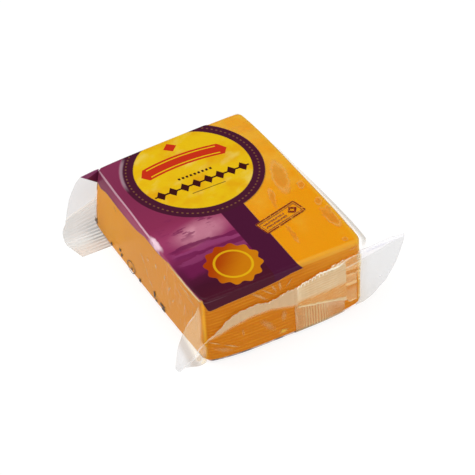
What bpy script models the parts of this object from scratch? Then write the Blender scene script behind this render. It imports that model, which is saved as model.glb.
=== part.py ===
"""A small block of orange cheese in a clear sealed film, lying on its largest side.

Metres, +Z up. The block stands on z = 0 with its centre over the origin. X runs across the pack,
Y along it: the front seal faces -Y and the back seal faces +Y. The film is one tight tube, so the
whole pack is one solid: the block's outer form with the four flat film ears, the front seal
folded up over the front face, and the back seal folded under the block.
"""

import bmesh
import bpy
from mathutils import Vector
from numpy import interp

MM = 0.001

# The wrapped block, and how far the film bulges out on each side of it.
WIDTH = 72.5 * MM
LENGTH = 95.0 * MM
HEIGHT = 32.9 * MM
UPRIGHT_RADIUS = 2.8 * MM
EDGE_RADIUS = 1.4 * MM
LEFT_BULGE = 1.0 * MM
RIGHT_BULGE = 1.6 * MM
FLARE = 1.6 * MM
FRONT_BULGE = 3.0 * MM
BACK_BULGE = 0.6 * MM

# How far each corner of the hand-cut block is off a true box, in millimetres of x and y.
# The keys are the signs of x, y and z.
CORNER_SHIFT = {
    (-1, -1, -1): (0.6, -0.3),
    (1, -1, -1): (0.8, -1.8),
    (-1, 1, -1): (-0.4, 1.2),
    (1, 1, -1): (0.0, 0.5),
    (-1, -1, 1): (-0.2, 1.3),
    (1, -1, 1): (0.4, 0.1),
    (-1, 1, 1): (0.0, -1.8),
    (1, 1, 1): (0.0, 2.2),
}

# The film, drawn thicker than it is so that it stays a sound solid.
FILM = 0.8 * MM
RELIEF = 0.7 * MM
FLAP_RELIEF = 0.35 * MM
ROOT = 3.0 * MM
ROOT_ON_EAR = 0.4 * MM

# The front seal as (x, z) in millimetres on the front face: its free edge and its fold.
SEAL_FREE_EDGE = (
    (-46, 4.6), (-38, 9.8), (-32, 15.5), (-26, 20.6), (-20, 22.7), (0, 22.2), (12, 24.4), (23, 25), (34, 27.3),
)
SEAL_FOLD = ((-46, 2.6), (-38, 6.6), (-25, 14.3), (-16, 15.2), (-6, 14.1), (4, 10.9), (20, 5.6), (34, 4.6))
TOOTH = 0.7 * MM
TOOTH_PITCH = 2.0 * MM

# The end of the lengthwise seal, folded up the front face.
FLAP_LEFT = 5.8 * MM
FLAP_RIGHT = 26.0 * MM
FLAP_TOP = 11.0 * MM

# The ears as (x, z) in millimetres, from the top round to the floor.
FRONT_LEFT_EAR = (
    (-30, 30), (-36.5, 32), (-38.7, 29), (-42.6, 22.6), (-46.9, 16.6), (-48.4, 11.3), (-49.5, 4.6), (-48.6, 2.9),
    (-46.1, 2), (-45.3, 2.6), (-43.3, 1.6), (-40.4, 1), (-37.9, 0.6), (-30, 0.6),
)
FRONT_RIGHT_EAR = (
    (30, 27.2), (42, 26.9), (52.8, 26.8), (57, 26.1), (54.9, 17.5), (53, 12.8), (48.7, 6.1), (44, 2.9),
    (41.4, 1.6), (37, 0.6), (30, 0.4),
)
BACK_LEFT_EAR = (
    (-30, 32), (-41.5, 32), (-43, 31.9), (-45.2, 29.8), (-47.2, 26.2), (-48.9, 22.3), (-50.2, 16.7),
    (-51.2, 12.1), (-51.4, 9.2), (-52.6, 7.7), (-53.2, 5.2), (-52.6, 0), (-30, 0),
)
BACK_RIGHT_EAR = ((30, 28), (37.5, 29.5), (42, 21.5), (46, 14), (49, 7.5), (50.5, 2), (50.5, 0), (30, 0))
FRONT_EAR_Y = -47.6 * MM
BACK_EAR_Y = 45.0 * MM

# The front left ear leans back to the block's corner above one height, and the front right ear
# leans forwards to the block's foot below another.
LEAN_BACK = 2.5 * MM
LEAN_BACK_FROM = 22.0 * MM
LEAN_BACK_OVER = 11.0 * MM
LEAN_FORWARD = 2.4 * MM
LEAN_FORWARD_UNDER = 12.0 * MM
LEVELS = 9

# The back seal lies on the floor, folded forwards and under the block. Its free edge runs from
# the left corner to the right one.
BACK_SEAL_LEFT = -52.4 * MM
BACK_SEAL_RIGHT = 50.5 * MM
BACK_SEAL_LEFT_CORNER = (-50.4 * MM, 32.4 * MM)
BACK_SEAL_RIGHT_CORNER = (49.5 * MM, 29.5 * MM)
BACK_SEAL_THICKNESS = 1.0 * MM

# Where the block is cut through so that its sides can bulge.
CUTS_X = 6
CUTS_Y = 8
CUTS_Z = 3


def clear_scene():
    """Removes whatever the file holds."""
    for obj in list(bpy.data.objects):
        bpy.data.objects.remove(obj, do_unlink=True)


def film_material():
    """The orange of the cheese, seen through glossy film."""
    material = bpy.data.materials.new("wrapped_cheese")
    material.use_nodes = True
    shader = material.node_tree.nodes["Principled BSDF"]
    shader.inputs["Base Color"].default_value = (0.83, 0.32, 0.03, 1.0)
    shader.inputs["Roughness"].default_value = 0.3
    shader.inputs["Metallic"].default_value = 0.0
    return material


def corner_shift(u, v, w):
    """The blend of the eight corner shifts at a place given by -1 to 1 along each axis."""
    total = Vector((0.0, 0.0, 0.0))
    for (side_x, side_y, side_z), (x, y) in CORNER_SHIFT.items():
        share = (1 + side_x * u) * (1 + side_y * v) * (1 + side_z * w) / 8
        total += share * Vector((x, y, 0.0)) * MM
    return total


def shaped(point):
    """Where a point of the true box goes in the real, slightly skewed and bulging block."""
    u = 2 * point.x / WIDTH
    v = 2 * point.y / LENGTH
    w = 2 * point.z / HEIGHT - 1
    moved = point + corner_shift(u, v, w)
    side_bulge = RIGHT_BULGE if u > 0 else LEFT_BULGE
    moved.x += u * side_bulge * (1 - v**4)
    if u > 0:
        moved.x += FLARE * u**6 * (1 - v) / 2 * (1 + w) ** 2 / 4
    if v < 0:
        moved.y += v * FRONT_BULGE * (1 - u**4) * (1 - w) / 2
    else:
        moved.y += v * BACK_BULGE * (1 - u**4)
    return moved


def front_ear_y(x, z):
    """The y of the middle of a front ear's film."""
    if x < 0:
        rise = max(0.0, z - LEAN_BACK_FROM) / LEAN_BACK_OVER
        return FRONT_EAR_Y + LEAN_BACK * rise**2
    drop = max(0.0, 1 - z / LEAN_FORWARD_UNDER)
    return FRONT_EAR_Y - LEAN_FORWARD * drop**2


def back_ear_y(x, z):
    """The back ears stand upright."""
    return BACK_EAR_Y


def beside_block(x):
    """Whether a place on the front is past the flat of the block's face, on an ear."""
    return abs(x) > WIDTH / 2 - UPRIGHT_RADIUS


def front_y(x, z):
    """The y of the foremost film at a place on the front: the block's face or an ear."""
    ear = front_ear_y(x, z) - FILM / 2
    return ear if beside_block(x) else min(ear, shaped(Vector((x, -LENGTH / 2, z))).y)


def cut_evenly(mesh, axis, length, cuts, start):
    """Cuts the mesh through with planes spaced evenly along an axis."""
    for index in range(1, cuts + 1):
        place = Vector((0.0, 0.0, 0.0))
        place[axis] = start + length * index / (cuts + 1)
        normal = Vector((0.0, 0.0, 0.0))
        normal[axis] = 1.0
        everything = list(mesh.verts) + list(mesh.edges) + list(mesh.faces)
        bmesh.ops.bisect_plane(mesh, geom=everything, plane_co=place, plane_no=normal)


def upright(edge):
    first, second = edge.verts
    return abs(first.co.z - second.co.z) > HEIGHT / 2


def on_rim(edge):
    """Whether an edge runs around the top or the bottom face."""
    return len({round(vertex.co.z, 6) for vertex in edge.verts}) == 1


def add_object(name, mesh, material=None):
    data = bpy.data.meshes.new(name)
    bmesh.ops.recalc_face_normals(mesh, faces=list(mesh.faces))
    mesh.to_mesh(data)
    mesh.free()
    if material:
        data.materials.append(material)
    obj = bpy.data.objects.new(name, data)
    bpy.context.scene.collection.objects.link(obj)
    return obj


def make_block(material):
    """The wrapped block: a rounded box, cut into a grid and then shaped."""
    mesh = bmesh.new()
    bmesh.ops.create_cube(mesh, size=1.0)
    bmesh.ops.scale(mesh, vec=(WIDTH, LENGTH, HEIGHT), verts=list(mesh.verts))
    bmesh.ops.translate(mesh, vec=(0.0, 0.0, HEIGHT / 2), verts=list(mesh.verts))
    uprights = [edge for edge in mesh.edges if upright(edge)]
    bmesh.ops.bevel(mesh, geom=uprights, offset=UPRIGHT_RADIUS, segments=4, profile=0.5, affect="EDGES")
    rims = [edge for edge in mesh.edges if on_rim(edge)]
    bmesh.ops.bevel(mesh, geom=rims, offset=EDGE_RADIUS, segments=3, profile=0.5, affect="EDGES")
    cut_evenly(mesh, 0, WIDTH, CUTS_X, -WIDTH / 2)
    cut_evenly(mesh, 1, LENGTH, CUTS_Y, -LENGTH / 2)
    cut_evenly(mesh, 2, HEIGHT, CUTS_Z, 0.0)
    for vertex in mesh.verts:
        vertex.co = shaped(vertex.co)
    return add_object("pack", mesh, material)


def make_ear(name, outline, middle_y):
    """A sheet of film from its outline in millimetres, leaning as middle_y says."""
    mesh = bmesh.new()
    face = mesh.faces.new([mesh.verts.new((x * MM, -FILM / 2, z * MM)) for x, z in outline])
    grown = bmesh.ops.extrude_face_region(mesh, geom=[face])
    moved = [item for item in grown["geom"] if isinstance(item, bmesh.types.BMVert)]
    bmesh.ops.translate(mesh, vec=(0.0, FILM, 0.0), verts=moved)
    cut_evenly(mesh, 2, HEIGHT, LEVELS, 0.0)
    for vertex in mesh.verts:
        vertex.co.y += middle_y(vertex.co.x, vertex.co.z)
    return add_object(name, mesh)


def make_face_sheet(name, columns, relief):
    """A sheet lying on the front face, from its (x, low z, high z) columns."""
    mesh = bmesh.new()
    rings = []
    for x, low, high in columns:
        middle = (low + high) / 2
        root = ROOT_ON_EAR if beside_block(x) else ROOT
        outer = [(x, front_y(x, z) - relief, z) for z in (low, middle, high)]
        inner = [(x, front_y(x, z) + root, z) for z in (high, middle, low)]
        rings.append([mesh.verts.new(place) for place in outer + inner])
    for ring, following in zip(rings, rings[1:]):
        for index in range(len(ring)):
            after = (index + 1) % len(ring)
            mesh.faces.new((ring[index], ring[after], following[after], following[index]))
    mesh.faces.new(rings[0])
    mesh.faces.new(rings[-1])
    return add_object(name, mesh)


def make_front_seal():
    """The seal band across the front face, with the zig-zag cut along its free edge."""
    first = SEAL_FREE_EDGE[0][0] * MM
    last = SEAL_FREE_EDGE[-1][0] * MM
    teeth = round(2 * (last - first) / TOOTH_PITCH)
    columns = []
    for index in range(teeth + 1):
        x = first + (last - first) * index / teeth
        low = interp(x / MM, *zip(*SEAL_FOLD)) * MM
        high = interp(x / MM, *zip(*SEAL_FREE_EDGE)) * MM
        columns.append((x, low, high - TOOTH * (index % 2)))
    return make_face_sheet("front_seal", columns, RELIEF)


def make_flap():
    """The end of the lengthwise seal, between the floor and the front seal's fold."""
    columns = []
    for x in (FLAP_LEFT, (FLAP_LEFT + FLAP_RIGHT) / 2, FLAP_RIGHT):
        columns.append((x, EDGE_RADIUS, FLAP_TOP))
    return make_face_sheet("flap", columns, FLAP_RELIEF)


def make_back_seal():
    """The back seal's strip on the floor."""
    mesh = bmesh.new()
    outline = (
        (BACK_SEAL_LEFT, BACK_EAR_Y + FILM / 2),
        BACK_SEAL_LEFT_CORNER,
        BACK_SEAL_RIGHT_CORNER,
        (BACK_SEAL_RIGHT, BACK_EAR_Y + FILM / 2),
    )
    face = mesh.faces.new([mesh.verts.new((x, y, 0.0)) for x, y in outline])
    grown = bmesh.ops.extrude_face_region(mesh, geom=[face])
    moved = [item for item in grown["geom"] if isinstance(item, bmesh.types.BMVert)]
    bmesh.ops.translate(mesh, vec=(0.0, 0.0, BACK_SEAL_THICKNESS), verts=moved)
    return add_object("back_seal", mesh)


def join_all(body, pieces):
    """Joins the film pieces to the block as one closed solid."""
    group = bpy.data.collections.new("film_pieces")
    for piece in pieces:
        group.objects.link(piece)
    union = body.modifiers.new("union", "BOOLEAN")
    union.operation = "UNION"
    union.operand_type = "COLLECTION"
    union.collection = group
    union.solver = "EXACT"
    bpy.context.view_layer.objects.active = body
    bpy.ops.object.modifier_apply(modifier=union.name)
    for piece in pieces:
        bpy.data.objects.remove(piece, do_unlink=True)
    bpy.data.collections.remove(group)


def main():
    clear_scene()
    body = make_block(film_material())
    pieces = [
        make_ear("front_left_ear", FRONT_LEFT_EAR, front_ear_y),
        make_ear("front_right_ear", FRONT_RIGHT_EAR, front_ear_y),
        make_ear("back_left_ear", BACK_LEFT_EAR, back_ear_y),
        make_ear("back_right_ear", BACK_RIGHT_EAR, back_ear_y),
        make_front_seal(),
        make_flap(),
        make_back_seal(),
    ]
    join_all(body, pieces)
    body.data.shade_smooth()
    body.data.set_sharp_from_angle(angle=0.6)


main()
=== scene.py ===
# %% [markdown]
# # A wrapped piece of orange cheese
#
# This lesson dresses a solid model of a small supermarket cheese: a block of firm orange cheese in a
# tight clear film, with a printed panel, flat ears at its corners and ribbed seals at its ends. The
# solid model gives the size and the place of everything. It is loaded first, so that each piece made
# here can be checked against it.

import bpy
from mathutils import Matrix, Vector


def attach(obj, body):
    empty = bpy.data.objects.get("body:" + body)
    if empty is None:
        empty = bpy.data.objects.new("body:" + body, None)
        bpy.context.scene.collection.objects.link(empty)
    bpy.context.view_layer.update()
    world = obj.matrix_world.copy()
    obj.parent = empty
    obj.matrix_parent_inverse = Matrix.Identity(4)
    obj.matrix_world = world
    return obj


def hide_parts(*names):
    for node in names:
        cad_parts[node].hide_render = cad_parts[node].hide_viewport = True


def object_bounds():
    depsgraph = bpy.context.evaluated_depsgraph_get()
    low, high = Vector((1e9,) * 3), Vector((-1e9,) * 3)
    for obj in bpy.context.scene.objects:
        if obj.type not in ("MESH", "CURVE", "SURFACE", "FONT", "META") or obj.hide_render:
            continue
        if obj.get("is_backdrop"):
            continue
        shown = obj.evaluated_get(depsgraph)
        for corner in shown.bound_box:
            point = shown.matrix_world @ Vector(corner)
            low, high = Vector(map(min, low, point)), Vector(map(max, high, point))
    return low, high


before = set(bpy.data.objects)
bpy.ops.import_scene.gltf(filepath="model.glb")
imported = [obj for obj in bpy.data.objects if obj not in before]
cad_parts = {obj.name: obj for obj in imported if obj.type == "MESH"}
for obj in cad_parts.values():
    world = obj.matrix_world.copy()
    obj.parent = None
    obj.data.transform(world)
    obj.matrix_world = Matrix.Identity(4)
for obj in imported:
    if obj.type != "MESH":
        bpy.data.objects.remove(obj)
cad_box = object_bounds()
print("The solid model measures", [round(1000 * (high - low), 1) for low, high in zip(*cad_box)], "mm.")

# %% The tools of the lesson
import math

import bmesh
import bpy
from mathutils import Vector
from numpy import interp

MM = 0.001

# %% [markdown]
# ## The camera
#
# The photograph was taken with a long lens from the front left, looking down at about 42 degrees.
# Four corners of the block were enough to work out the direction, and a long lens is set here with a
# large distance, because both together give the same weak perspective.

# %% Place the camera
AIM = Vector((3.5, -4.9, 16.0)) * MM
AZIMUTH = math.radians(-30.16)
ELEVATION = math.radians(41.99)
CAMERA_DISTANCE = 0.7
LENS = 128.5

level = math.cos(ELEVATION)
to_camera = Vector((math.sin(AZIMUTH) * level, -math.cos(AZIMUTH) * level, math.sin(ELEVATION)))
bpy.ops.object.select_all(action="DESELECT")
bpy.ops.object.camera_add(
    location=AIM + CAMERA_DISTANCE * to_camera,
    rotation=(math.pi / 2 - ELEVATION, 0.0, AZIMUTH),
)
camera = bpy.context.object
camera.name = "photo_camera"
camera.data.lens = LENS
camera.data.sensor_width = 36.0
camera.data.clip_start = 0.01
bpy.context.scene.camera = camera
bpy.context.scene.view_settings.view_transform = "Standard"
print("The camera stands at", [round(part, 3) for part in camera.location])

# %% [markdown]
# ## The floor and the light
#
# A product photograph like this one has a white table that glows with light, so that shadows nearly
# vanish. A plain floor that is partly a light does the same. A broad softbox hangs above, a second one
# lifts the front face, and a low one stands behind on the left, where it draws the bright line along
# the top left edge. The room itself stays dim, so that the clear film doesn't turn pale with reflections.

# %% Lay the floor
bpy.ops.mesh.primitive_plane_add(size=6.0)
floor = bpy.context.object
floor.name = "floor"
FLOOR_GREY = 0.25
FLOOR_GLOW = 0.8

floor_paint = bpy.data.materials.new("white_table")
floor_paint.use_nodes = True
floor_shader = floor_paint.node_tree.nodes["Principled BSDF"]
floor_shader.inputs["Base Color"].default_value = (FLOOR_GREY, FLOOR_GREY, FLOOR_GREY, 1.0)
floor_shader.inputs["Roughness"].default_value = 0.9
floor_shader.inputs["Specular IOR Level"].default_value = 0.0
floor_shader.inputs["Emission Color"].default_value = (1.0, 1.0, 1.0, 1.0)
floor_shader.inputs["Emission Strength"].default_value = FLOOR_GLOW
floor.data.materials.append(floor_paint)
floor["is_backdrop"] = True


# %% Hang the lights
def add_softbox(name, place, size, power):
    """A square light that faces the block."""
    bpy.ops.object.light_add(type="AREA", location=place)
    light = bpy.context.object
    light.name = name
    light.data.shape = "SQUARE"
    light.data.size = size
    light.data.energy = power
    light.rotation_euler = Vector(place).to_track_quat("Z", "Y").to_euler()
    return light


add_softbox("softbox_above", (-0.15, 0.1, 1.1), 1.0, 10.3)
add_softbox("softbox_behind_left", (-1.0, 0.95, 0.55), 0.5, 4.4)
add_softbox("softbox_front", (0.3, -1.2, 0.5), 0.8, 6.4)

world = bpy.data.worlds.new("studio")
world.use_nodes = True
world.node_tree.nodes["Background"].inputs["Color"].default_value = (1.0, 1.0, 1.0, 1.0)
world.node_tree.nodes["Background"].inputs["Strength"].default_value = 0.08
bpy.context.scene.world = world

# %% [markdown]
# ## A short way to write materials
#
# Every finish here is a pattern worked out from the place on the piece. Written as node links that is
# hard to read, so one small class wraps a socket. Python's own operators then add the Math nodes, and
# a formula in the script looks like the formula on paper.


# %% The wrapped socket
class Wire:
    """A value, colour or vector that flows through a material's nodes."""

    def __init__(self, tree, socket):
        self.tree = tree
        self.socket = socket

    def node(self, kind, settings=None, inputs=None, output=0):
        """Adds any node: first its settings or ramp stops, then the values or wires of its sockets."""
        made = self.tree.nodes.new(kind)
        for name, value in (settings or {}).items():
            if name == "stops":
                self.set_stops(made.color_ramp, value)
            else:
                setattr(made, name, value)
        for name, value in (inputs or {}).items():
            if isinstance(value, Wire):
                self.tree.links.new(value.socket, made.inputs[name])
            else:
                made.inputs[name].default_value = value
        return Wire(self.tree, made.outputs[output])

    @staticmethod
    def set_stops(ramp, stops):
        """Gives a ramp its stops, each one a place and a colour."""
        while len(ramp.elements) < len(stops):
            ramp.elements.new(1.0)
        for element, (place, colour) in zip(ramp.elements, stops):
            element.position = place
            element.color = (*colour, 1.0)

    def math(self, operation, *values):
        return self.node("ShaderNodeMath", {"operation": operation}, dict(enumerate(values)))

    def __add__(self, other):
        return self.math("ADD", self, other)

    def __radd__(self, other):
        return self.math("ADD", other, self)

    def __sub__(self, other):
        return self.math("SUBTRACT", self, other)

    def __rsub__(self, other):
        return self.math("SUBTRACT", other, self)

    def __mul__(self, other):
        return self.math("MULTIPLY", self, other)

    def __rmul__(self, other):
        return self.math("MULTIPLY", other, self)

    def __truediv__(self, other):
        return self.math("DIVIDE", self, other)

    def __abs__(self):
        return self.math("ABSOLUTE", self)

    def sine(self):
        return self.math("SINE", self)

    def fraction(self):
        return self.math("FRACT", self)

    def power(self, exponent):
        return self.math("POWER", self, exponent)

    def larger(self, other):
        return self.math("MAXIMUM", self, other)

    def smaller(self, other):
        return self.math("MINIMUM", self, other)

    def rise(self, start, end):
        """A soft step: 0 at start and 1 at end, whichever is larger. On a place these are millimetres."""
        settings = {"interpolation_type": "SMOOTHSTEP"}
        return self.node("ShaderNodeMapRange", settings, {"Value": self, "From Min": start, "From Max": end})

    def vector_math(self, operation, other):
        return self.node("ShaderNodeVectorMath", {"operation": operation}, {0: self, 1: other})

    def parts(self):
        """The x, y and z of a vector."""
        made = self.tree.nodes.new("ShaderNodeSeparateXYZ")
        self.tree.links.new(self.socket, made.inputs[0])
        return [Wire(self.tree, output) for output in made.outputs]

    def length(self):
        return self.node("ShaderNodeVectorMath", {"operation": "LENGTH"}, {0: self}, output=1)

    def noise(self, size, detail=2.0, distortion=0.0):
        """Cloudy noise of about this grain size, from 0 to 1 round 0.5."""
        inputs = {"Vector": self, "Scale": 1 / size, "Detail": detail, "Distortion": distortion}
        return self.node("ShaderNodeTexNoise", {}, inputs)

    def stretched(self, x, y, z):
        """The place with its axes multiplied, so that a noise on it is drawn out."""
        return self.vector_math("MULTIPLY", (x, y, z))

    def profile(self, points):
        """Straight lines between (x, y) points, as on graph paper, read at this value."""
        first, last = points[0][0], points[-1][0]
        low = min(y for _, y in points)
        high = max(y for _, y in points)
        stops = []
        for x, y in points:
            grey = (y - low) / (high - low)
            stops.append(((x - first) / (last - first), (grey, grey, grey)))
        along = (self - first) / (last - first)
        return along.node("ShaderNodeValToRGB", {"stops": stops}, {0: along}) * (high - low) + low


def flat(across, up):
    """A flat drawing plane made of two wires."""
    return across.node("ShaderNodeCombineXYZ", {}, {0: across, 1: up})


def turned(plane, middle, half_sizes=(1.0, 1.0), turn=0.0):
    """The plane seen from a new middle, with a new turn in degrees and new units."""
    inputs = {
        "Vector": plane,
        "Location": (*middle, 0.0),
        "Rotation": (0.0, 0.0, math.radians(turn)),
        "Scale": (*half_sizes, 1.0),
    }
    return plane.node("ShaderNodeMapping", {"vector_type": "TEXTURE"}, inputs)


def oval(plane, middle, half_sizes=(1.0, 1.0), turn=0.0):
    """The distance from an oval's middle, which is 1 at its rim; without sizes it is in millimetres."""
    return turned(plane, middle, half_sizes, turn).length()


def brightest_of(plane, marks):
    """Soft ovals drawn together, each with its middle, half sizes, turn and strength."""
    brightest = None
    for middle, half_sizes, turn, strength in marks:
        mark = oval(plane, middle, half_sizes, turn).rise(1.0, 0.1) * strength
        brightest = mark if brightest is None else brightest.larger(mark)
    return brightest


def mix(share, first, second):
    """A colour between two others; each may be a wire or a plain colour."""
    first, second = (colour if isinstance(colour, Wire) else (*colour, 1.0) for colour in (first, second))
    return share.node("ShaderNodeMix", {"data_type": "RGBA"}, {0: share, 6: first, 7: second}, output=2)


def layered(base, *layers):
    """A colour with others laid over it in turn, each a mask and its colour."""
    for mask, colour in layers:
        base = mix(mask, base, colour)
    return base


# %% Start a material
def start_material(name, **constants):
    """A new material, its shader, and the place on the piece in millimetres."""
    material = bpy.data.materials.new(name)
    material.use_nodes = True
    tree = material.node_tree
    shader = tree.nodes["Principled BSDF"]
    for socket, value in constants.items():
        shader.inputs[socket.replace("_", " ")].default_value = value
    coordinates = tree.nodes.new("ShaderNodeTexCoord")
    place = Wire(tree, coordinates.outputs["Object"])
    place = place.node("ShaderNodeVectorMath", {"operation": "SCALE"}, {"Vector": place, "Scale": 1000.0})
    return material, shader, place


def plug(shader, **wires):
    """Joins wires to the shader's sockets."""
    for socket, wire in wires.items():
        wire.tree.links.new(wire.socket, shader.inputs[socket.replace("_", " ")])


def bumped(height, depth=1.0):
    """The normal of a surface whose height is a wire in millimetres."""
    return height.node("ShaderNodeBump", {}, {"Strength": 1.0, "Distance": depth * MM, "Height": height})


print("The material helpers are ready.")

# %% [markdown]
# ## The form that every piece follows
#
# The cheese is cut by hand, so its corners are off a true box by up to two millimetres, and the film
# bulges on each side. A plain box is easier to round and cut, so each piece starts true and one rule
# moves its points. The same rule shapes the solid model, but for details that only show from near: the
# top left edge is drawn in a little more, two uprights are sharper, and the film's flare at the top right
# has its own width.

# %% The block's form
WIDTH = 72.5 * MM
LENGTH = 95.0 * MM
HEIGHT = 32.9 * MM
UPRIGHT_RADIUS = 2.8 * MM
TIGHT_RADIUS = 1.6 * MM
EDGE_RADIUS = 1.4 * MM
LEFT_BULGE = 1.0 * MM
RIGHT_BULGE = 1.6 * MM
FLARE = 2.2 * MM
FRONT_BULGE = 3.0 * MM
BACK_BULGE = 0.6 * MM
DRAWN_IN = 1.1 * MM
DRAWN_IN_BACK = 0.85 * MM

# How far each corner is off a true box, in millimetres of x and y, by the signs of x, y and z.
CORNER_SHIFT = {
    (-1, -1, -1): (0.6, -0.3),
    (1, -1, -1): (0.8, -1.8),
    (-1, 1, -1): (-0.4, 1.2),
    (1, 1, -1): (0.0, 0.5),
    (-1, -1, 1): (-0.2, 1.3),
    (1, -1, 1): (0.4, 0.1),
    (-1, 1, 1): (0.0, -1.8),
    (1, 1, 1): (0.0, 2.2),
}


def corner_shift(u, v, w):
    """The blend of the eight corner shifts at a place given by -1 to 1 along each axis."""
    total = Vector((0.0, 0.0, 0.0))
    for (side_x, side_y, side_z), (x, y) in CORNER_SHIFT.items():
        share = (1 + side_x * u) * (1 + side_y * v) * (1 + side_z * w) / 8
        total += share * Vector((x, y, 0.0)) * MM
    return total


def block_form(place, flare=FLARE):
    """Where a point of the true box goes on the real block."""
    u = 2 * place.x / WIDTH
    v = 2 * place.y / LENGTH
    w = 2 * place.z / HEIGHT - 1
    moved = place + corner_shift(u, v, w)
    side_bulge = RIGHT_BULGE if u > 0 else LEFT_BULGE
    moved.x += u * side_bulge * (1 - v**4)
    if u > 0:
        moved.x += flare * u**6 * ((1 - v) / 2) ** 1.5 * (1 + w) ** 2 / 4
    else:
        moved.x -= u * (DRAWN_IN + DRAWN_IN_BACK * v) * ((1 + w) / 2) ** 3
    if v < 0:
        moved.y += v * FRONT_BULGE * (1 - u**4) * (1 - w) / 2
    else:
        moved.y += v * BACK_BULGE * (1 - u**4)
    return moved


corner = block_form(Vector((WIDTH / 2, -LENGTH / 2, HEIGHT)))
print("The front right top corner goes to", [round(part / MM, 1) for part in corner], "mm.")


# %% Helpers for modelling by hand
def select_only(*pieces):
    """Selects these pieces and makes the first one active."""
    bpy.ops.object.select_all(action="DESELECT")
    for piece in pieces:
        piece.select_set(True)
    bpy.context.view_layer.objects.active = pieces[0]


def start_editing(piece):
    """Enters edit mode on one piece, working on its edges."""
    select_only(piece)
    bpy.ops.object.mode_set(mode="EDIT")
    bpy.ops.mesh.select_mode(type="EDGE")


def select_edges(piece, wanted):
    """In edit mode, selects the edges whose two ends pass a test."""
    bpy.ops.mesh.select_all(action="DESELECT")
    mesh = bmesh.from_edit_mesh(piece.data)
    for edge in mesh.edges:
        if wanted(edge.verts[0].co, edge.verts[1].co):
            edge.select_set(True)
    bmesh.update_edit_mesh(piece.data)


def read_off(points, x):
    """Straight lines between (x, y) points, as on graph paper, read at a plain number."""
    return interp(x, *zip(*points))


def slice_through(axis, start, length, count):
    """In edit mode, cuts the whole mesh into slices of equal thickness along one axis."""
    normal = Vector((axis == 0, axis == 1, axis == 2))
    for index in range(1, count):
        bpy.ops.mesh.select_all(action="SELECT")
        place = start + length * index / count
        bpy.ops.mesh.bisect(plane_co=place * normal, plane_no=normal, threshold=1e-6)


def slice_box(size, foot, counts):
    """In edit mode, slices a box into its count along each axis, and leaves the mode."""
    for axis, start in enumerate((-size[0] / 2, -size[1] / 2, foot)):
        slice_through(axis, start, size[axis], counts[axis])
    bpy.ops.object.mode_set(mode="OBJECT")


def apply_modifier(piece, kind, **settings):
    """Adds a modifier, sets it and applies it."""
    select_only(piece)
    modifier = piece.modifiers.new(kind.lower(), kind)
    for name, value in settings.items():
        setattr(modifier, name, value)
    bpy.ops.object.modifier_apply(modifier=modifier.name)


def finish_piece(piece, material, slot, *replaced):
    """Turns the faces outwards, smooths them, and says what carries the piece."""
    start_editing(piece)
    bpy.ops.mesh.select_all(action="SELECT")
    bpy.ops.mesh.normals_make_consistent(inside=False)
    bpy.ops.object.mode_set(mode="OBJECT")
    bpy.ops.object.shade_smooth()
    piece.data.materials.clear()
    piece.data.materials.append(material)
    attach(piece, "root")
    if replaced:
        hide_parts(*replaced)
    triangles = sum(len(face.vertices) - 2 for face in piece.data.polygons)
    size = [round(part / MM, 1) for part in piece.dimensions]
    print(piece.name, "has", triangles, "triangles and measures", size, "mm.")


def named(name):
    """The piece that was just added, with its name."""
    piece = bpy.context.object
    piece.name = name
    piece.data.name = name
    return piece


def add_rounded_box(name, size, floor_height, upright_radii, edge_radius):
    """A box with rounded edges, standing at a height over the floor; each upright has its radius."""
    bpy.ops.object.select_all(action="DESELECT")
    bpy.ops.mesh.primitive_cube_add(size=1.0, location=(0.0, 0.0, floor_height + size[2] / 2), scale=size)
    piece = named(name)
    bpy.ops.object.transform_apply(location=True, rotation=True, scale=True)
    start_editing(piece)
    for (side_x, side_y), radius in upright_radii.items():
        def at_corner(first, second):
            upright = abs(first.z - second.z) > size[2] / 2
            return upright and first.x * side_x > size[0] * 0.49 and first.y * side_y > size[1] * 0.49
        select_edges(piece, at_corner)
        bpy.ops.mesh.bevel(offset=radius, segments=6, profile=0.5, affect="EDGES")
    select_edges(piece, lambda first, second: abs(first.z - second.z) < 1e-6)
    bpy.ops.mesh.bevel(offset=edge_radius, segments=4, profile=0.5, affect="EDGES")
    return piece


print("The modelling helpers are ready.")

# %% [markdown]
# ## The cheese
#
# The block inside the film is firm orange cheese with cut faces. The wire that cut its ends left fine
# level ribs about 1.5 mm apart. A box with bevelled edges is cut into slices fine enough for those ribs
# to be real relief, then moved into the block's form. It stays a little inside the film. At the top
# right the film flares out and the cheese doesn't follow, so the film shows there as a pale rim. Below
# the rim the cheese's front right corner reaches further out again and fills the film.

# %% Model the cheese
FILM_GAP = 0.25 * MM
CHEESE_FOOT = 0.5 * MM
RIB_PITCH = 1.5 * MM
RIB_DEPTH = 0.04 * MM
CORNER_REACH = 1.1 * MM
CORNER_REACH_TOP = 28 * MM
CORNER_REACH_FADE = 6 * MM
CHEESE_EDGE_RADIUS = 1.6 * MM
CHEESE_SLICES = (30, 40, 106)
CHEESE_SIZE = Vector((WIDTH - 2 * FILM_GAP, LENGTH - 2 * FILM_GAP, HEIGHT - FILM_GAP - CHEESE_FOOT))
CHEESE_UPRIGHTS = {(-1, -1): 2.6 * MM, (1, -1): 4.0 * MM, (-1, 1): 1.8 * MM, (1, 1): 2.6 * MM}

cheese = add_rounded_box("cheese", CHEESE_SIZE, CHEESE_FOOT, CHEESE_UPRIGHTS, CHEESE_EDGE_RADIUS)
slice_box(CHEESE_SIZE, CHEESE_FOOT, CHEESE_SLICES)

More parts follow.
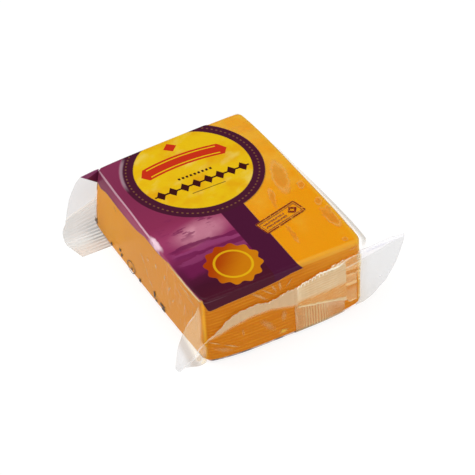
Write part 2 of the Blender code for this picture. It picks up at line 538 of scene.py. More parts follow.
for vertex in cheese.data.vertices:
    true = vertex.co.copy()
    end_face = max(0.0, 1 - (CHEESE_SIZE.y / 2 - abs(true.y)) / CHEESE_EDGE_RADIUS)
    moved = block_form(true, flare=0.0)
    moved.y += math.copysign(RIB_DEPTH * end_face, true.y) * math.sin(2 * math.pi * true.z / RIB_PITCH)
    if true.x > 0 and true.y < 0:
        corner_share = (2 * true.x / WIDTH) ** 8 * (2 * true.y / LENGTH) ** 8
        below_top = min(1.0, max(0.0, (CORNER_REACH_TOP - true.z) / CORNER_REACH_FADE))
        moved.x += CORNER_REACH * corner_share * below_top
    vertex.co = moved

# %% [markdown]
# ### The finish of the cheese
#
# Orange cheese looks strong because light goes a little way in and comes out again, so the shader has a small
# constant share of subsurface light. The colour is cloudy and paler towards the back. The end faces and the
# front of the left side get darker copies of the orange, which is painted shade, and the end faces are paler
# at their top right, which is painted light. The edges carry painted highlights: the front left upright one
# is painted yellow and given a painted glow by emission, and the top front edge and the front right upright
# are painted paler. A thin coat stands for the film that clings to it.

# %% Colour the cheese
CHEESE_DEEP = (0.87, 0.325, 0.003)
CHEESE_PALE = (0.87, 0.44, 0.035)
CHEESE_LEFT = (0.87, 0.34, 0.014)
CHEESE_LEFT_FRONT_SHADED = (0.79, 0.285, 0.008)
CHEESE_CUT_SHADED = (0.64, 0.19, 0.003)
CHEESE_CUT_LIT = (0.8, 0.31, 0.02)
CHEESE_RIB = (0.72, 0.255, 0.008)
CHEESE_HIGHLIGHT = (0.95, 0.52, 0.02)
CHEESE_RIM_HIGHLIGHT = (0.87, 0.47, 0.055)
CHEESE_EDGE = (0.87, 0.5, 0.03)
NO_GLOW = (0.0, 0.0, 0.0)
UPRIGHT_LIGHT = (0.3, 0.14, 0.02)
RIGHT_EDGE_X = 37.6


def right_edge_x(y):
    """The x of the right side's top edge in millimetres, where y is a wire; it is drawn in at both ends."""
    return RIGHT_EDGE_X - abs(y / 47.5).power(4.0) * RIGHT_BULGE / MM


cheese_finish, cheese_shader, place = start_material(
    "orange_cheese",
    Roughness=0.45,
    Specular_IOR_Level=0.06,
    Coat_Roughness=0.15,
    Subsurface_Weight=0.15,
    Subsurface_Radius=(1.0, 0.35, 0.06),
    Subsurface_Scale=1.5 * MM,
    Emission_Strength=1.0,
)
x, y, z = place.parts()
clouds = (place.noise(14.0, detail=3.0) + y * 0.006).rise(0.35, 0.85)
grain = place.noise(1.6, detail=3.0)
left_side = x.rise(-34.6, -35.6)
# The left side gets its own copy of the orange, darker towards the front: painted shade.
left_shaded_tone = mix(y.rise(0.0, 34.0), CHEESE_LEFT_FRONT_SHADED, CHEESE_LEFT)
body = layered(
    mix(clouds, CHEESE_DEEP, CHEESE_PALE),
    (left_side * (0.75 + clouds * 0.25), left_shaded_tone),
    ((x - right_edge_x(y)).rise(-3.2, -0.6) * 0.6, CHEESE_EDGE),
)
front_edge = -46.8 - x * 0.0166
back_edge = 48.35 - x * 0.01 + z / 33.0 * (x * 0.065 - 0.65)
end_face = (front_edge - y).larger(y - back_edge).rise(-1.1, -0.3)
ribs = (z * (2 * math.pi / RIB_PITCH * MM) + place.noise(6.0) * 1.2).sine()
scratches = place.stretched(0.12, 1.0, 1.0).noise(1.2)
# The end faces are a darker copy of the orange, which is painted shade, and their top right is painted paler,
# which is painted light.
cut = mix(ribs.rise(-0.6, 1.2) * scratches.rise(0.3, 0.7), CHEESE_CUT_SHADED, CHEESE_RIB)
cut = mix(x.rise(4.0, 26.0) * z.rise(22.0, 29.0) * 0.6, cut, CHEESE_CUT_LIT)
# The front left upright edge gets a painted yellow highlight, and a painted glow by emission that grows
# towards its top.
along_upright = flat(x + 35.6 + z * 0.02, y + 47.4 - z * 0.045)
upright_highlight = along_upright.length().rise(1.7, 0.4) * (0.55 + z.rise(2.0, 20.0) * 0.45)
# The front right upright edge and the top front edge are painted paler: painted highlights.
right_upright_highlight = x.rise(34.0, 35.4) * y.rise(-43.6, -45.4)
front_rim_highlight = (front_edge - y).rise(-2.5, -1.6) * z.rise(30.6, 31.4) * (0.5 + clouds * 0.5)
colour = layered(
    body,
    (end_face, cut),
    (front_rim_highlight, CHEESE_RIM_HIGHLIGHT),
    (right_upright_highlight * 0.75, CHEESE_RIM_HIGHLIGHT),
    (upright_highlight, CHEESE_HIGHLIGHT),
)
painted_glow = mix(upright_highlight * z.rise(4.0, 26.0), NO_GLOW, UPRIGHT_LIGHT)
gloss = 0.04 + left_side * 0.12
height = grain * 0.12 + place.noise(5.0) * 0.25
plug(cheese_shader, Base_Color=colour, Coat_Weight=gloss, Emission_Color=painted_glow, Normal=bumped(height, 0.4))
finish_piece(cheese, cheese_finish, "cheese")

# %% [markdown]
# ## The film round the block
#
# The film is one closed shell just outside the cheese. It is cut finely, because the creases that run
# from the seals and along the edges are lifted out of it point by point. Each crease is a line with a
# width and a height, and the points near it move along their own normals.

# %% Model the film
FILM_FOOT = 0.25 * MM
FILM_SIZE = Vector((WIDTH, LENGTH, HEIGHT - FILM_FOOT))
FILM_SLICES = (46, 60, 22)
FILM_UPRIGHTS = {
    (-1, -1): UPRIGHT_RADIUS,
    (1, -1): TIGHT_RADIUS,
    (-1, 1): TIGHT_RADIUS,
    (1, 1): UPRIGHT_RADIUS,
}
wrap = add_rounded_box("film_wrap", FILM_SIZE, FILM_FOOT, FILM_UPRIGHTS, EDGE_RADIUS)
slice_box(FILM_SIZE, FILM_FOOT, FILM_SLICES)
for vertex in wrap.data.vertices:
    vertex.co = block_form(vertex.co)
apply_modifier(wrap, "SUBSURF", levels=1, render_levels=1)

# %% Lift the creases
# Each crease has its two ends, its half width and its height, all in millimetres.
CREASES = (
    ((-36.2, 46.0, 32.3), (-36.6, -14.0, 32.5), 0.9, 0.22),
    ((-36.6, -14.0, 32.5), (-36.3, -44.0, 32.2), 1.3, 0.18),
    ((3.0, -49.6, 20.6), (-6.3, -48.6, 25.6), 0.8, 0.3),
    ((3.0, -49.6, 20.6), (-15.4, -47.8, 28.3), 0.8, 0.25),
    ((2.0, -49.4, 22.0), (-4.1, -47.8, 29.9), 0.7, 0.25),
    ((3.6, -49.4, 21.0), (4.4, -48.4, 27.0), 0.7, 0.3),
    ((-33.0, -46.4, 31.6), (10.0, -47.0, 31.8), 0.8, 0.08),
    ((-36.0, -46.2, 30.5), (-36.4, -46.6, 10.0), 1.2, 0.2),
)


def lift(place, start, end, half_width, height):
    """How far a crease lifts a point."""
    run = end - start
    share = min(1.0, max(0.0, (place - start).dot(run) / run.length_squared))
    away = (place - start - share * run).length / half_width
    taper = math.sin(math.pi * (0.12 + 0.76 * share))
    return height * taper * (1 - away**2) ** 2 if away < 1 else 0.0


for vertex in wrap.data.vertices:
    place = vertex.co / MM
    total = 0.0
    for start, end, half_width, height in CREASES:
        total += lift(place, Vector(start), Vector(end), half_width, height)
    if total:
        vertex.co += vertex.normal * total * MM
print("Creases lifted:", len(CREASES))

# %% [markdown]
# ### The printed film
#
# Most of the film is clear. A panel of print covers the top left: a purple field, a dark band, and a
# yellow disc in a dark ring, all of it opaque ink on clear film. Nothing on it is lettered. Plain bars,
# lozenges and a sunburst decorate it.
#
# Each shape is a mask from 0 to 1 worked out from the place in millimetres. The print also runs over the
# left, front and back edges, so the masks have a lowest height on those three faces. On the back the
# drawing plane is folded down with the face.

# %% Where the print reaches
FIELD_RIGHT = 6.7
BAND_LEFT = -4.3
RING_MIDDLE = (-0.75, 25.0)
RING_OUTER = 30.3
DISC_MIDDLE = (-0.5, 25.1)
DISC_RADIUS = 25.0
LOWEST_ON_LEFT = (
    (-48, 32.2), (-20, 32.2), (-16, 31.4), (-11, 30.4), (0, 30.2),
    (7, 28.4), (13, 27.8), (36, 27.1), (41, 25.6), (48, 26.4),
)
LOWEST_ON_FRONT = (
    (-37, 27.6), (-34, 27.3), (-32.7, 26.7), (-25.7, 27.4), (-15.4, 27.9),
    (-7.7, 28.5), (-2.1, 29.1), (3, 30.1), (9.4, 30.6),
)
LOWEST_ON_BACK = 20.0
TOP_Z = HEIGHT / MM
SOFT = 0.25
FRAME_MIDDLE = (15.3, -19.2)
FRAME_TURN = 13.6
FRAME_HALF = (10.9, 3.85)

film_finish, film_shader, place = start_material(
    "printed_film",
    Roughness=0.22,
    Specular_IOR_Level=0.05,
    Coat_Roughness=0.08,
)
x, y, z = place.parts()
on_back = y.rise(45.4, 46.4)
unrolled = y + (TOP_Z - z).larger(0.0) * on_back
top = flat(x, unrolled)
front = flat(x, z)
wobble = (place.noise(9.0) - 0.5) * 0.5
from_ring = oval(top, RING_MIDDLE)
ring = from_ring.rise(RING_OUTER + SOFT, RING_OUTER - SOFT)
disc = oval(top, DISC_MIDDLE).rise(DISC_RADIUS + SOFT, DISC_RADIUS - SOFT)
slanted_end = (TOP_Z - z).larger(0.0) * y.rise(-44.0, -45.5) * 0.9
field = (x - FIELD_RIGHT - slanted_end).rise(SOFT, -SOFT)
on_left_side = x.rise(-35.2, -35.7) * z.rise(32.7, 32.3)
on_front = y.rise(-44.4, -44.9)
on_top = z.rise(31.2, 32.2)
above_left = (z - y.profile(LOWEST_ON_LEFT) - wobble).rise(-SOFT, SOFT)
above_front = (z - x.profile(LOWEST_ON_FRONT)).rise(-SOFT, SOFT)
front_corner = (x + 36.3 - (33.0 - z) * 0.42).rise(-0.2, 0.3)
above_back = z.rise(LOWEST_ON_BACK, LOWEST_ON_BACK + 0.6)
reach = (1 - on_left_side * (1 - above_left)) * (1 - on_front * (1 - above_front * front_corner))
reach = reach * (1 - on_back * (1 - above_back))

# %% The oblong frame
# A small frame of dark ink crosses the edge of the print. The print stops where the frame begins.
FRAME_CORNER = 14.2
ROW_PITCH = 1.8

across, up, _ = turned(top, FRAME_MIDDLE, turn=FRAME_TURN).parts()
from_edge = (abs(across) - FRAME_HALF[0]).larger(abs(up) - FRAME_HALF[1])
from_edge = from_edge.larger((abs(across) + abs(up) - FRAME_CORNER) * 0.7)
worn = place.noise(0.8, detail=1.0)
frame_lines = abs(from_edge + 0.3).rise(0.4, 0.2).larger(abs(from_edge + 1.25).rise(0.26, 0.1) * 0.8)
row_gap = abs(((up + ROW_PITCH / 2) / ROW_PITCH).fraction() - 0.5)
row_number = up.math("ROUND", up / ROW_PITCH)
frame_bars = row_gap.rise(0.2, 0.34) * abs(up).rise(2.7, 2.5) * abs(across + 3.2).rise(5.9, 5.6)
frame_bars = frame_bars * (across * 1.6 + row_number * 1.9).sine().rise(-0.95, -0.8)
from_gem = abs(across - 6.6) * 0.85 + abs(up)
frame_gem = from_gem.rise(2.3, 2.0) * from_gem.rise(0.9, 1.1)
stamp = frame_lines.larger(frame_bars * 0.85).larger(frame_gem)
stamp = stamp * worn.rise(0.26, 0.44) * on_top
inside_frame = from_edge.rise(0.1, -0.1) * on_top
printed = ring.larger(field) * reach * (1 - inside_frame)

# %% The colours of the print
PURPLE = (
    (0.0, (0.078, 0.009, 0.022)),
    (0.1, (0.065, 0.008, 0.024)),
    (0.22, (0.13, 0.012, 0.055)),
    (0.31, (0.27, 0.03, 0.11)),
    (0.4, (0.36, 0.05, 0.14)),
    (0.5, (0.27, 0.03, 0.09)),
    (0.75, (0.225, 0.028, 0.08)),
    (1.0, (0.24, 0.034, 0.09)),
)
SIDE_PURPLE_SHEEN = (0.42, 0.06, 0.14)
SKY = (0.66, 0.28, 0.36)
CLOUD = (0.2, 0.02, 0.085)
HILL = (0.17, 0.014, 0.075)
MEADOW = (0.3, 0.05, 0.16)
BAND_COLOUR = (0.075, 0.009, 0.036)
RING_COLOUR = (0.07, 0.011, 0.03)
OCHRE = (0.35, 0.16, 0.05)
YELLOW = (0.84, 0.53, 0.008)
YELLOW_DEEP = (0.8, 0.4, 0.006)
YELLOW_PALE = (0.88, 0.66, 0.13)
RED = (0.6, 0.032, 0.01)
BROWN = (0.05, 0.008, 0.008)
SUN = (0.62, 0.2, 0.004)
SUN_DEEP = (0.42, 0.05, 0.002)

along = (y + 48.0) / 96.0
field_tone = along.node("ShaderNodeValToRGB", {"stops": PURPLE}, {0: along})
mottle = place.noise(7.0, detail=4.0).rise(0.35, 0.65)
brush = place.stretched(0.3, 1.0, 1.0).noise(2.0, detail=5.0) - 0.5
sky = oval(top, (-17.0, -10.5), (15.5, 8.0), 8.0).rise(1.1, 0.25) * (0.65 + mottle * 0.35)
streaky = (brush * 2.0 + place.noise(8.0) - 0.5).rise(0.12, 0.3) * y.rise(-14.0, -9.0) * y.rise(4.0, -2.0)
# On the left side the print is painted paler, except towards the back: a painted reflection of the bright
# floor.
colour = layered(
    field_tone,
    (on_left_side * y.rise(44.0, 12.0) * 0.8, SIDE_PURPLE_SHEEN),
    (sky, SKY),
    (streaky * x.rise(-34.0, -28.0) * 0.75, CLOUD),
)

# %% The hills
# Each hill has the y of its crest, the swell of its line, its colour, its strength and its depth.
HILLS = (
    (-15.2, 5.2, HILL, 0.85, 1.6),
    (-17.6, 3.6, MEADOW, 0.8, 2.2),
    (-20.2, 7.4, HILL, 0.8, 1.5),
    (-22.6, 4.4, MEADOW, 0.6, 2.0),
    (-25.0, 4.1, HILL, 0.8, 6.0),
)
for height, swell, tone, strength, depth in HILLS:
    below_crest = height + (x / swell).sine() * 0.9 + brush * 4.0 - y
    slope = below_crest.rise(-0.15, 0.3) * below_crest.rise(depth + 2.0, depth) * strength
    colour = mix(slope * x.rise(-36.0, -32.0), colour, tone)

# %% The sunburst
SUN_MIDDLE = (-15.0, -33.5)
SUN_RADIUS = 11.3
SUN_RAYS = 12.0
RAY_LENGTH = 0.7
SUN_INNER_RADIUS = 7.6


def angle_round(middle):
    """The angle round a middle on the top, in radians."""
    return y.math("ARCTAN2", y - middle[1], x - middle[0])


from_sun = oval(top, SUN_MIDDLE)
sun_edge = SUN_RADIUS + (angle_round(SUN_MIDDLE) * SUN_RAYS).sine() * RAY_LENGTH
sun = (sun_edge - from_sun).rise(-0.2, 0.2)
sun_tone = mix(((x - y) * 0.7 - 10.0 + brush * 2.4).rise(-5.0, 8.0), SUN_DEEP, SUN)
inner = abs(from_sun - SUN_INNER_RADIUS).rise(0.7, 0.3)
sun_tone = mix(inner * 0.7, sun_tone, YELLOW)

# %% The band, the ring and the disc
DASH_COUNT = 84.0
DASH_RADIUS = 27.9
band = x.rise(BAND_LEFT - SOFT, BAND_LEFT + SOFT)
dashes = (angle_round(RING_MIDDLE) * DASH_COUNT).sine().rise(-0.2, 0.6)
ring_line = abs(from_ring - DASH_RADIUS).rise(0.5, 0.15) * dashes
ring_tone = mix(ring_line * 0.5, RING_COLOUR, OCHRE)
colour = layered(colour, (band, BAND_COLOUR), (sun, sun_tone), (ring, ring_tone))
disc_clouds = place.noise(11.0, detail=3.0).rise(0.42, 0.7)
slanted = flat(x * 0.8 + y * 0.6, y * 1.4 - x * 0.84)
pale_strokes = slanted.noise(13.0, detail=3.0).rise(0.5, 0.74)

# %% The bars and lozenges on the disc
# Each row has its y. The lozenges repeat along x, and the ribbon is bent into a low arch.
LOZENGE_PITCH = 5.5
LOZENGE_ROW = 16.3
SMALL_ROW = 22.0
FINE_ROW = 11.4
RIBBON_TOP = 33.0
RIBBON_BEND = 0.006
CREST = (-2.2, 42.4)

from_row = abs(y - LOZENGE_ROW)
steps = (x + 0.9) / LOZENGE_PITCH
lozenges = abs(steps.fraction() - 0.5) * LOZENGE_PITCH
main_row = (from_row / 2.9 + lozenges / 2.1).rise(1.08, 0.92) * abs(x + 0.9).rise(22.2, 21.8)
main_row = main_row.larger(from_row.rise(0.55, 0.35) * abs(x + 0.9).rise(22.4, 22.0))
small_row = abs(y - SMALL_ROW).rise(0.8, 0.5) * abs(x + 1.4).rise(8.2, 7.8) * (x * 3.4).sine().rise(-0.5, 0.1)
fine_row = abs(y - FINE_ROW).rise(0.35, 0.15) * abs(x + 0.5).rise(8.0, 7.6)
from_arch = abs(y - (RIBBON_TOP - abs(x + 1.6).power(2.0) * RIBBON_BEND))
ribbon = from_arch.rise(3.9, 3.5) * (abs(x + 1.6) + from_arch * 0.7).rise(20.6, 20.1)
ribbon_line = abs(from_arch - 2.3).rise(0.45, 0.2) * abs(x + 1.6).rise(16.6, 16.2)
crest = (abs(x - CREST[0]) + abs(y - CREST[1]) * 1.1).rise(3.3, 3.0)
disc_tone = layered(
    mix(disc_clouds, YELLOW, YELLOW_DEEP),
    (pale_strokes * 0.65, YELLOW_PALE),
    (ribbon.larger(crest), RED),
    (ribbon_line, YELLOW),
    (main_row.larger(small_row).larger(fine_row * 0.7), BROWN),
)
colour = mix(disc, colour, disc_tone)

# %% [markdown]
# Where the clear film lies close to the cheese it leaves a warmer patch with a pale rim, and where it stands
# off it looks milky. Each patch is an oval with a ragged outline. Its rim gets a little more of the film's
# own white. The creases and edges of the film get painted highlights.

# %% The patches where the film lies close
# Each patch has its middle, its half sizes and its turn.
PATCHES = (
    ((28.3, 2.8), (3.1, 9.6), -17.0),
    ((33.1, -5.8), (1.3, 2.2), -30.0),
    ((18.5, -7.7), (1.2, 5.6), -17.0),
    ((14.2, -30.0), (1.0, 5.6), -6.0),
    ((34.0, -18.4), (1.3, 2.4), -35.0),
    ((32.9, -29.2), (2.2, 6.2), 6.0),
    ((34.6, -25.0), (1.1, 2.4), -20.0),
    ((30.6, -43.0), (1.1, 1.2), 0.0),
)
PATCH_PUSH = 2.4
STREAK_PUSH = 1.2
cloudy = place.node("ShaderNodeTexNoise", {}, {"Vector": place, "Scale": 0.3, "Detail": 2.0}, output=1)


def pushed(plane, amount):
    """The plane with its points pushed about by cloudy noise, by up to half this many millimetres."""
    push = cloudy.vector_math("MULTIPLY", (amount, amount, 0.0))
    centred = push.vector_math("SUBTRACT", (amount / 2, amount / 2, 0.0))
    return plane.vector_math("ADD", centred)


ragged = pushed(top, PATCH_PUSH)
patch_rim = None
patch_fill = None
for middle, half_sizes, turn in PATCHES:
    away = oval(ragged, middle, half_sizes, turn)
    rim = abs(away - 0.95).rise(0.34, 0.0)
    fill = away.rise(1.0, 0.75)
    patch_rim = rim if patch_rim is None else patch_rim.larger(rim)
    patch_fill = fill if patch_fill is None else patch_fill.larger(fill)

patch_rim = patch_rim * place.noise(9.0, detail=1.0).rise(0.3, 0.55)

# %% The film's milky places
# Streaks on the front face, each with its middle, half sizes and turn in the x and z plane, and strength.
STREAKS = (
    ((-11.5, 25.0), (6.6, 0.8), -39.0, 0.45),
    ((-7.6, 25.6), (5.4, 0.6), -38.0, 0.4),
    ((-4.9, 26.4), (3.4, 0.7), -62.0, 0.4),
    ((-2.2, 26.4), (0.9, 3.0), 6.0, 0.5),
    ((2.0, 26.5), (3.2, 0.4), 48.0, 0.45),
    ((-8.5, 9.7), (6.2, 1.9), -50.0, 0.3),
    ((-32.0, 9.8), (3.6, 0.5), -26.0, 0.6),
    ((-25.0, 6.2), (4.6, 0.6), -26.0, 0.5),
    ((-28.5, 5.6), (6.4, 1.4), -24.0, 0.3),
    ((-19.7, 10.9), (0.7, 2.4), 0.0, 0.25),
    ((-1.3, 11.5), (1.8, 3.6), 0.0, 0.32),
    ((32.0, 30.6), (3.0, 0.6), 8.0, 0.25),
)
# Streaks on the left side, in the y and z plane.
LEFT_STREAKS = (
    ((1.6, 17.4), (3.4, 0.55), 40.0, 0.75),
    ((-1.6, 13.0), (3.2, 0.55), 66.0, 0.75),
    ((-4.6, 9.4), (3.0, 0.55), 40.0, 0.7),
    ((-2.6, 20.6), (1.2, 1.8), 0.0, 0.4),
    ((-9.5, 22.4), (1.1, 1.8), 0.0, 0.7),
    ((-17.0, 22.4), (0.9, 2.4), 24.0, 0.6),
    ((-20.6, 19.0), (0.8, 3.2), 24.0, 0.6),
    ((-23.6, 15.0), (0.7, 2.2), 30.0, 0.5),
    ((-34.0, 28.6), (6.5, 0.5), 4.0, 0.65),
    ((-38.0, 26.6), (5.0, 0.5), 8.0, 0.6),
    ((-29.0, 24.0), (4.0, 0.6), 12.0, 0.45),
    ((-33.0, 18.0), (1.0, 6.0), 12.0, 0.35),
    ((-39.0, 20.0), (0.8, 6.0), 8.0, 0.3),
    ((27.0, 25.0), (2.4, 0.4), 30.0, 0.45),
)


bent_front = pushed(front, STREAK_PUSH)
streaks = brightest_of(bent_front, STREAKS) * on_front
left_streaks = brightest_of(pushed(flat(y, z), STREAK_PUSH), LEFT_STREAKS) * on_left_side
# The film on the left side is painted as a pale peach veil in mottled patches, a painted reflection of the
# bright floor; its streaks take the same colour.
left_sheen = place.stretched(1.0, 0.6, 0.25).noise(2.0, detail=3.0).rise(0.48, 0.75)
left_sheen = left_sheen * on_left_side * y.rise(2.0, -18.0)
yellow_spot = oval(bent_front, (-2.0, 4.2), (2.8, 1.7)).rise(1.0, 0.1) * on_front

# %% Painted highlights along the edges and creases, and other marks on the film
LEFT_EDGE_X = ((-48, -36.7), (-28, -36.4), (-4, -36.0), (5, -35.8), (14, -35.5), (28, -35.3), (48, -34.5))
from_line = abs(x - y.profile(LEFT_EDGE_X))
# The bright line along the top left edge, the glint on that edge, the pale arc on the ring, the cream line
# near the front and the line along the front fold are all painted highlights.
edge_highlight = from_line.rise(0.42, 0.12) * z.rise(31.4, 31.9) * y.rise(-8.0, -4.0)
edge_highlight = edge_highlight * (0.42 + y.rise(14.0, -2.0) * 0.2)
glint_noise = (place.noise(2.4, detail=2.0) - 0.5) * 2.6
glint_plane = flat(y + glint_noise, x + glint_noise * 0.5)
edge_glint = oval(glint_plane, (-8.0, -35.8), (7.0, 1.5)).rise(1.0, 0.3) * z.rise(30.4, 31.2)
cream_highlight = from_line.rise(1.1, 0.2) * z.rise(31.0, 31.6) * y.rise(-14.0, -30.0)
ring_glint = abs(from_ring - 29.9).rise(1.1, 0.2) * oval(top, (-28.0, 37.0), (9.0, 13.0)).rise(1.0, 0.5)
soft_veil = place.noise(16.0, detail=2.0).rise(0.4, 0.75)
fold_highlight = abs(z - 31.4).rise(0.35, 0.1) * on_front * x.rise(-22.0, -33.0)
past_cheese = x - right_edge_x(y)
flare_rim = past_cheese.rise(-0.3, 0.5) * z.rise(29.0, 31.4) * y.rise(24.0, -30.0)
rim_line = past_cheese.rise(-1.2, -0.7) * past_cheese.rise(0.2, -0.2) * z.rise(32.0, 32.5)
rim_line = rim_line * y.rise(26.0, 10.0) * y.rise(-42.0, -37.0)
back_smears = place.stretched(0.3, 1.0, 1.0).noise(2.6, detail=2.0).rise(0.45, 0.7)
back_smears = back_smears * (x + y).rise(50.0, 66.0) * on_top
# A thin dark line along the foot of the front face is a painted contact shadow.
foot_shadow_line = z.rise(1.35, 1.05) * y.rise(-46.0, -46.6) * abs(x + 1.0).rise(33.5, 31.5) * x.rise(36.0, 20.0)
foot_shadow_line = foot_shadow_line * (0.5 + place.noise(7.0).rise(0.35, 0.6) * 0.5)

# %% The finish of the printed film
PINK_HIGHLIGHT = (0.95, 0.66, 0.76)
CREAM_HIGHLIGHT = (1.0, 0.86, 0.5)
RIM_CREAM = (1.0, 0.93, 0.78)
PEACH = (0.82, 0.45, 0.15)
SIDE_PEACH_SHEEN = (1.0, 0.66, 0.3)
PATCH_RIM = (0.95, 0.58, 0.15)
PATCH_FILL = (0.77, 0.32, 0.06)
SPOT = (0.95, 0.6, 0.08)
RIM_GREY = (0.6, 0.57, 0.5)
FOOT_SHADOW = (0.07, 0.03, 0.05)
STAMP = (0.2, 0.012, 0.006)

patch_rim = patch_rim * on_top
patch_fill = patch_fill * on_top
# The painted highlights are pink white, on the print as well as on the clear film.
painted_highlight = edge_highlight.larger(edge_glint).larger(ring_glint * 0.32).larger(fold_highlight * 0.05)
clear = layered(
    mix(on_left_side, PEACH, SIDE_PEACH_SHEEN),
    (patch_fill, PATCH_FILL),
    (patch_rim, PATCH_RIM),
    (cream_highlight, CREAM_HIGHLIGHT),
    (yellow_spot, SPOT),
    (edge_glint, PINK_HIGHLIGHT),
    (flare_rim, RIM_GREY),
    (rim_line, RIM_CREAM),
    (stamp, STAMP),
    (foot_shadow_line, FOOT_SHADOW),
)
colour = mix(printed, clear, mix(painted_highlight, colour, PINK_HIGHLIGHT))

# Each mark on the film is as opaque as its share says, and the print is fully so.
opacity = 0.006 + soft_veil * 0.012 + left_sheen * 0.2
opacity = opacity.larger(patch_rim * 0.42).larger(patch_fill * 0.28) + back_smears * 0.08
for mark, share in (
    (streaks, 1.5),
    (left_streaks, 1.0),
    (flare_rim, 0.38),
    (rim_line, 0.7),
    (cream_highlight, 0.7),
    (edge_glint, 0.8),
    (yellow_spot, 0.7),
    (stamp, 1.0),
    (foot_shadow_line, 0.8),
    (printed, 1.0),
):
    opacity = opacity.larger(mark * share)
gloss = 0.05 - on_front * 0.04
height = place.noise(3.5, detail=2.0) * 0.08 + place.noise(12.0) * 0.4 + patch_rim * 0.04
plug(film_shader, Base_Color=colour, Alpha=opacity, Coat_Weight=gloss, Normal=bumped(height, 0.5))
finish_piece(wrap, film_finish, "film", "pack")

# %% [markdown]
# ## The sheets of film that stand out
#
# The ears and the seals are two layers of film pressed together. Each one is a plain grid whose points
# are sent to their places by a short rule, then thickened with Solidify, so it is a closed thin sheet
# and not a paper-thin face. A fine grid costs little here and lets the folds be real.

# %% A sheet from a rule
SHEET_THICKNESS = 0.2 * MM


def add_sheet(name, columns, rows, rule, thickness=SHEET_THICKNESS):
    """A thin closed sheet; the rule says where the grid's point (s, t), each 0 to 1, goes."""
    bpy.ops.object.select_all(action="DESELECT")
    bpy.ops.mesh.primitive_grid_add(x_subdivisions=columns, y_subdivisions=rows, size=1.0)
    piece = named(name)
    for vertex in piece.data.vertices:
        vertex.co = rule(vertex.co.x + 0.5, vertex.co.y + 0.5)
    apply_modifier(piece, "SOLIDIFY", thickness=thickness, offset=0.0)
    return piece


# %% Where the front ears lie
FRONT_EAR_Y = -47.6 * MM
LEAN_BACK = 2.5 * MM
LEAN_FORWARD = 2.4 * MM
FILM = 0.8 * MM


def front_ear_y(x, z):
    """The y of a front ear: the left one leans back at its top, the right one forwards at its foot."""
    if x < 0:
        rise = max(0.0, z - 22.0 * MM) / (11.0 * MM)
        return FRONT_EAR_Y + LEAN_BACK * rise**2
    drop = max(0.0, 1 - z / (12.0 * MM))
    return FRONT_EAR_Y - LEAN_FORWARD * drop**2


def front_y(x, z):
    """The y of the foremost film at a place on the front: the block's face or an ear."""
    ear = front_ear_y(x, z) - FILM / 2
    if abs(x) > WIDTH / 2 - UPRIGHT_RADIUS:
        return ear
    return min(ear, block_form(Vector((x, -LENGTH / 2, z))).y)


def bell(value, middle, half_width):
    """1 at the middle, 0 at the half width and past it."""
    away = abs(value - middle) / half_width
    return (1 - away**2) ** 2 if away < 1 else 0.0


print("The front face stands at", round(front_y(0.0, 10.0 * MM) / MM, 1), "mm.")

# %% [markdown]
# ## The front ears
#
# At each end of a seal the film of the block's side is trapped flat between front and back, and makes a
# stiff ear. The right one ends in a long point with its top edge rolled over, the left one leans against
# the block's corner. Both outlines were measured from the photograph.

# %% The places of a front ear
def front_ear_point(s, t, left, right, foot_points, top_points):
    """The x, y and z in millimetres of a point that is the share s from left to right, and t up."""
    x = left + (right - left) * s
    foot = read_off(foot_points, x)
    top = read_off(top_points, x)
    z = foot + t * (top - foot)
    return x, front_ear_y(x * MM, z * MM) / MM, z


# %% Model the right ear
RIGHT_EAR_ROOT = 33.5
RIGHT_EAR_TIP = 57.0
RIGHT_EAR_TOP = ((33.5, 27.1), (42, 26.9), (52.8, 26.8), (57, 26.2))
RIGHT_EAR_FOOT = (
    (33.5, 0.5), (37, 0.6), (41.4, 1.6), (44, 2.9), (48.7, 6.1), (53, 12.8), (54.9, 17.5), (56.2, 22.3),
    (57, 26),
)


def right_ear_place(s, t):
    x, y, z = front_ear_point(s, t, RIGHT_EAR_ROOT, RIGHT_EAR_TIP, RIGHT_EAR_FOOT, RIGHT_EAR_TOP)
    from_top = read_off(RIGHT_EAR_TOP, x) - z
    roll = 0.4 + 2.4 * (RIGHT_EAR_TIP - x) / (RIGHT_EAR_TIP - RIGHT_EAR_ROOT)
    if from_top < roll:
        y += 1.1 * (1 - from_top / roll) ** 2
    y += 0.35 * math.sin(z * 0.2 + x * 0.17) * bell(x, 48.0, 12.0)
    y -= 0.3 * bell(z - 0.35 * (x - 46), 9.6, 0.7) * bell(x, 46.0, 1.4)
    return Vector((x, y, z)) * MM


right_ear = add_sheet("front_right_ear", 72, 80, right_ear_place)

# %% Model the left ear
LEFT_EAR_TIP = -49.4
LEFT_EAR_ROOT = -34.5
LEFT_EAR_TOP = (
    (-49.4, 5.2), (-48.9, 9), (-47.6, 15.5), (-45.9, 22.2), (-41.8, 26.8), (-37.3, 31.5), (-34.5, 31.6),
)
LEFT_EAR_FOOT = (
    (-49.4, 4.4), (-48.6, 2.9), (-46.1, 2), (-45.3, 2.6), (-43.3, 1.6), (-40.4, 1), (-37.9, 0.6),
    (-34.5, 0.6),
)


def left_ear_place(s, t):
    x, y, z = front_ear_point(s, t, LEFT_EAR_TIP, LEFT_EAR_ROOT, LEFT_EAR_FOOT, LEFT_EAR_TOP)
    y += 0.35 * math.sin(x * 0.7 + z * 0.25)
    y -= 0.45 * bell(z - 0.55 * (x + 46), 3.6, 1.3)
    return Vector((x, y, z)) * MM


left_ear = add_sheet("front_left_ear", 50, 80, left_ear_place)

# %% [markdown]
# ### Milky film
#
# Two layers of clear film with a little air between them look milky. In front of the bright floor they are a
# shade darker than it, and close to the cheese they pick up its orange and look lighter than it; that orange
# light is painted into their colour. A milky film lets most light on to what is behind it, so it throws next
# to no shadow, and each sheet is set so. The opacity is a mask that rises at folds and edges. The colour is
# painted warm near the block, for the light that the cheese throws on it, and the folds are painted white as
# highlights.

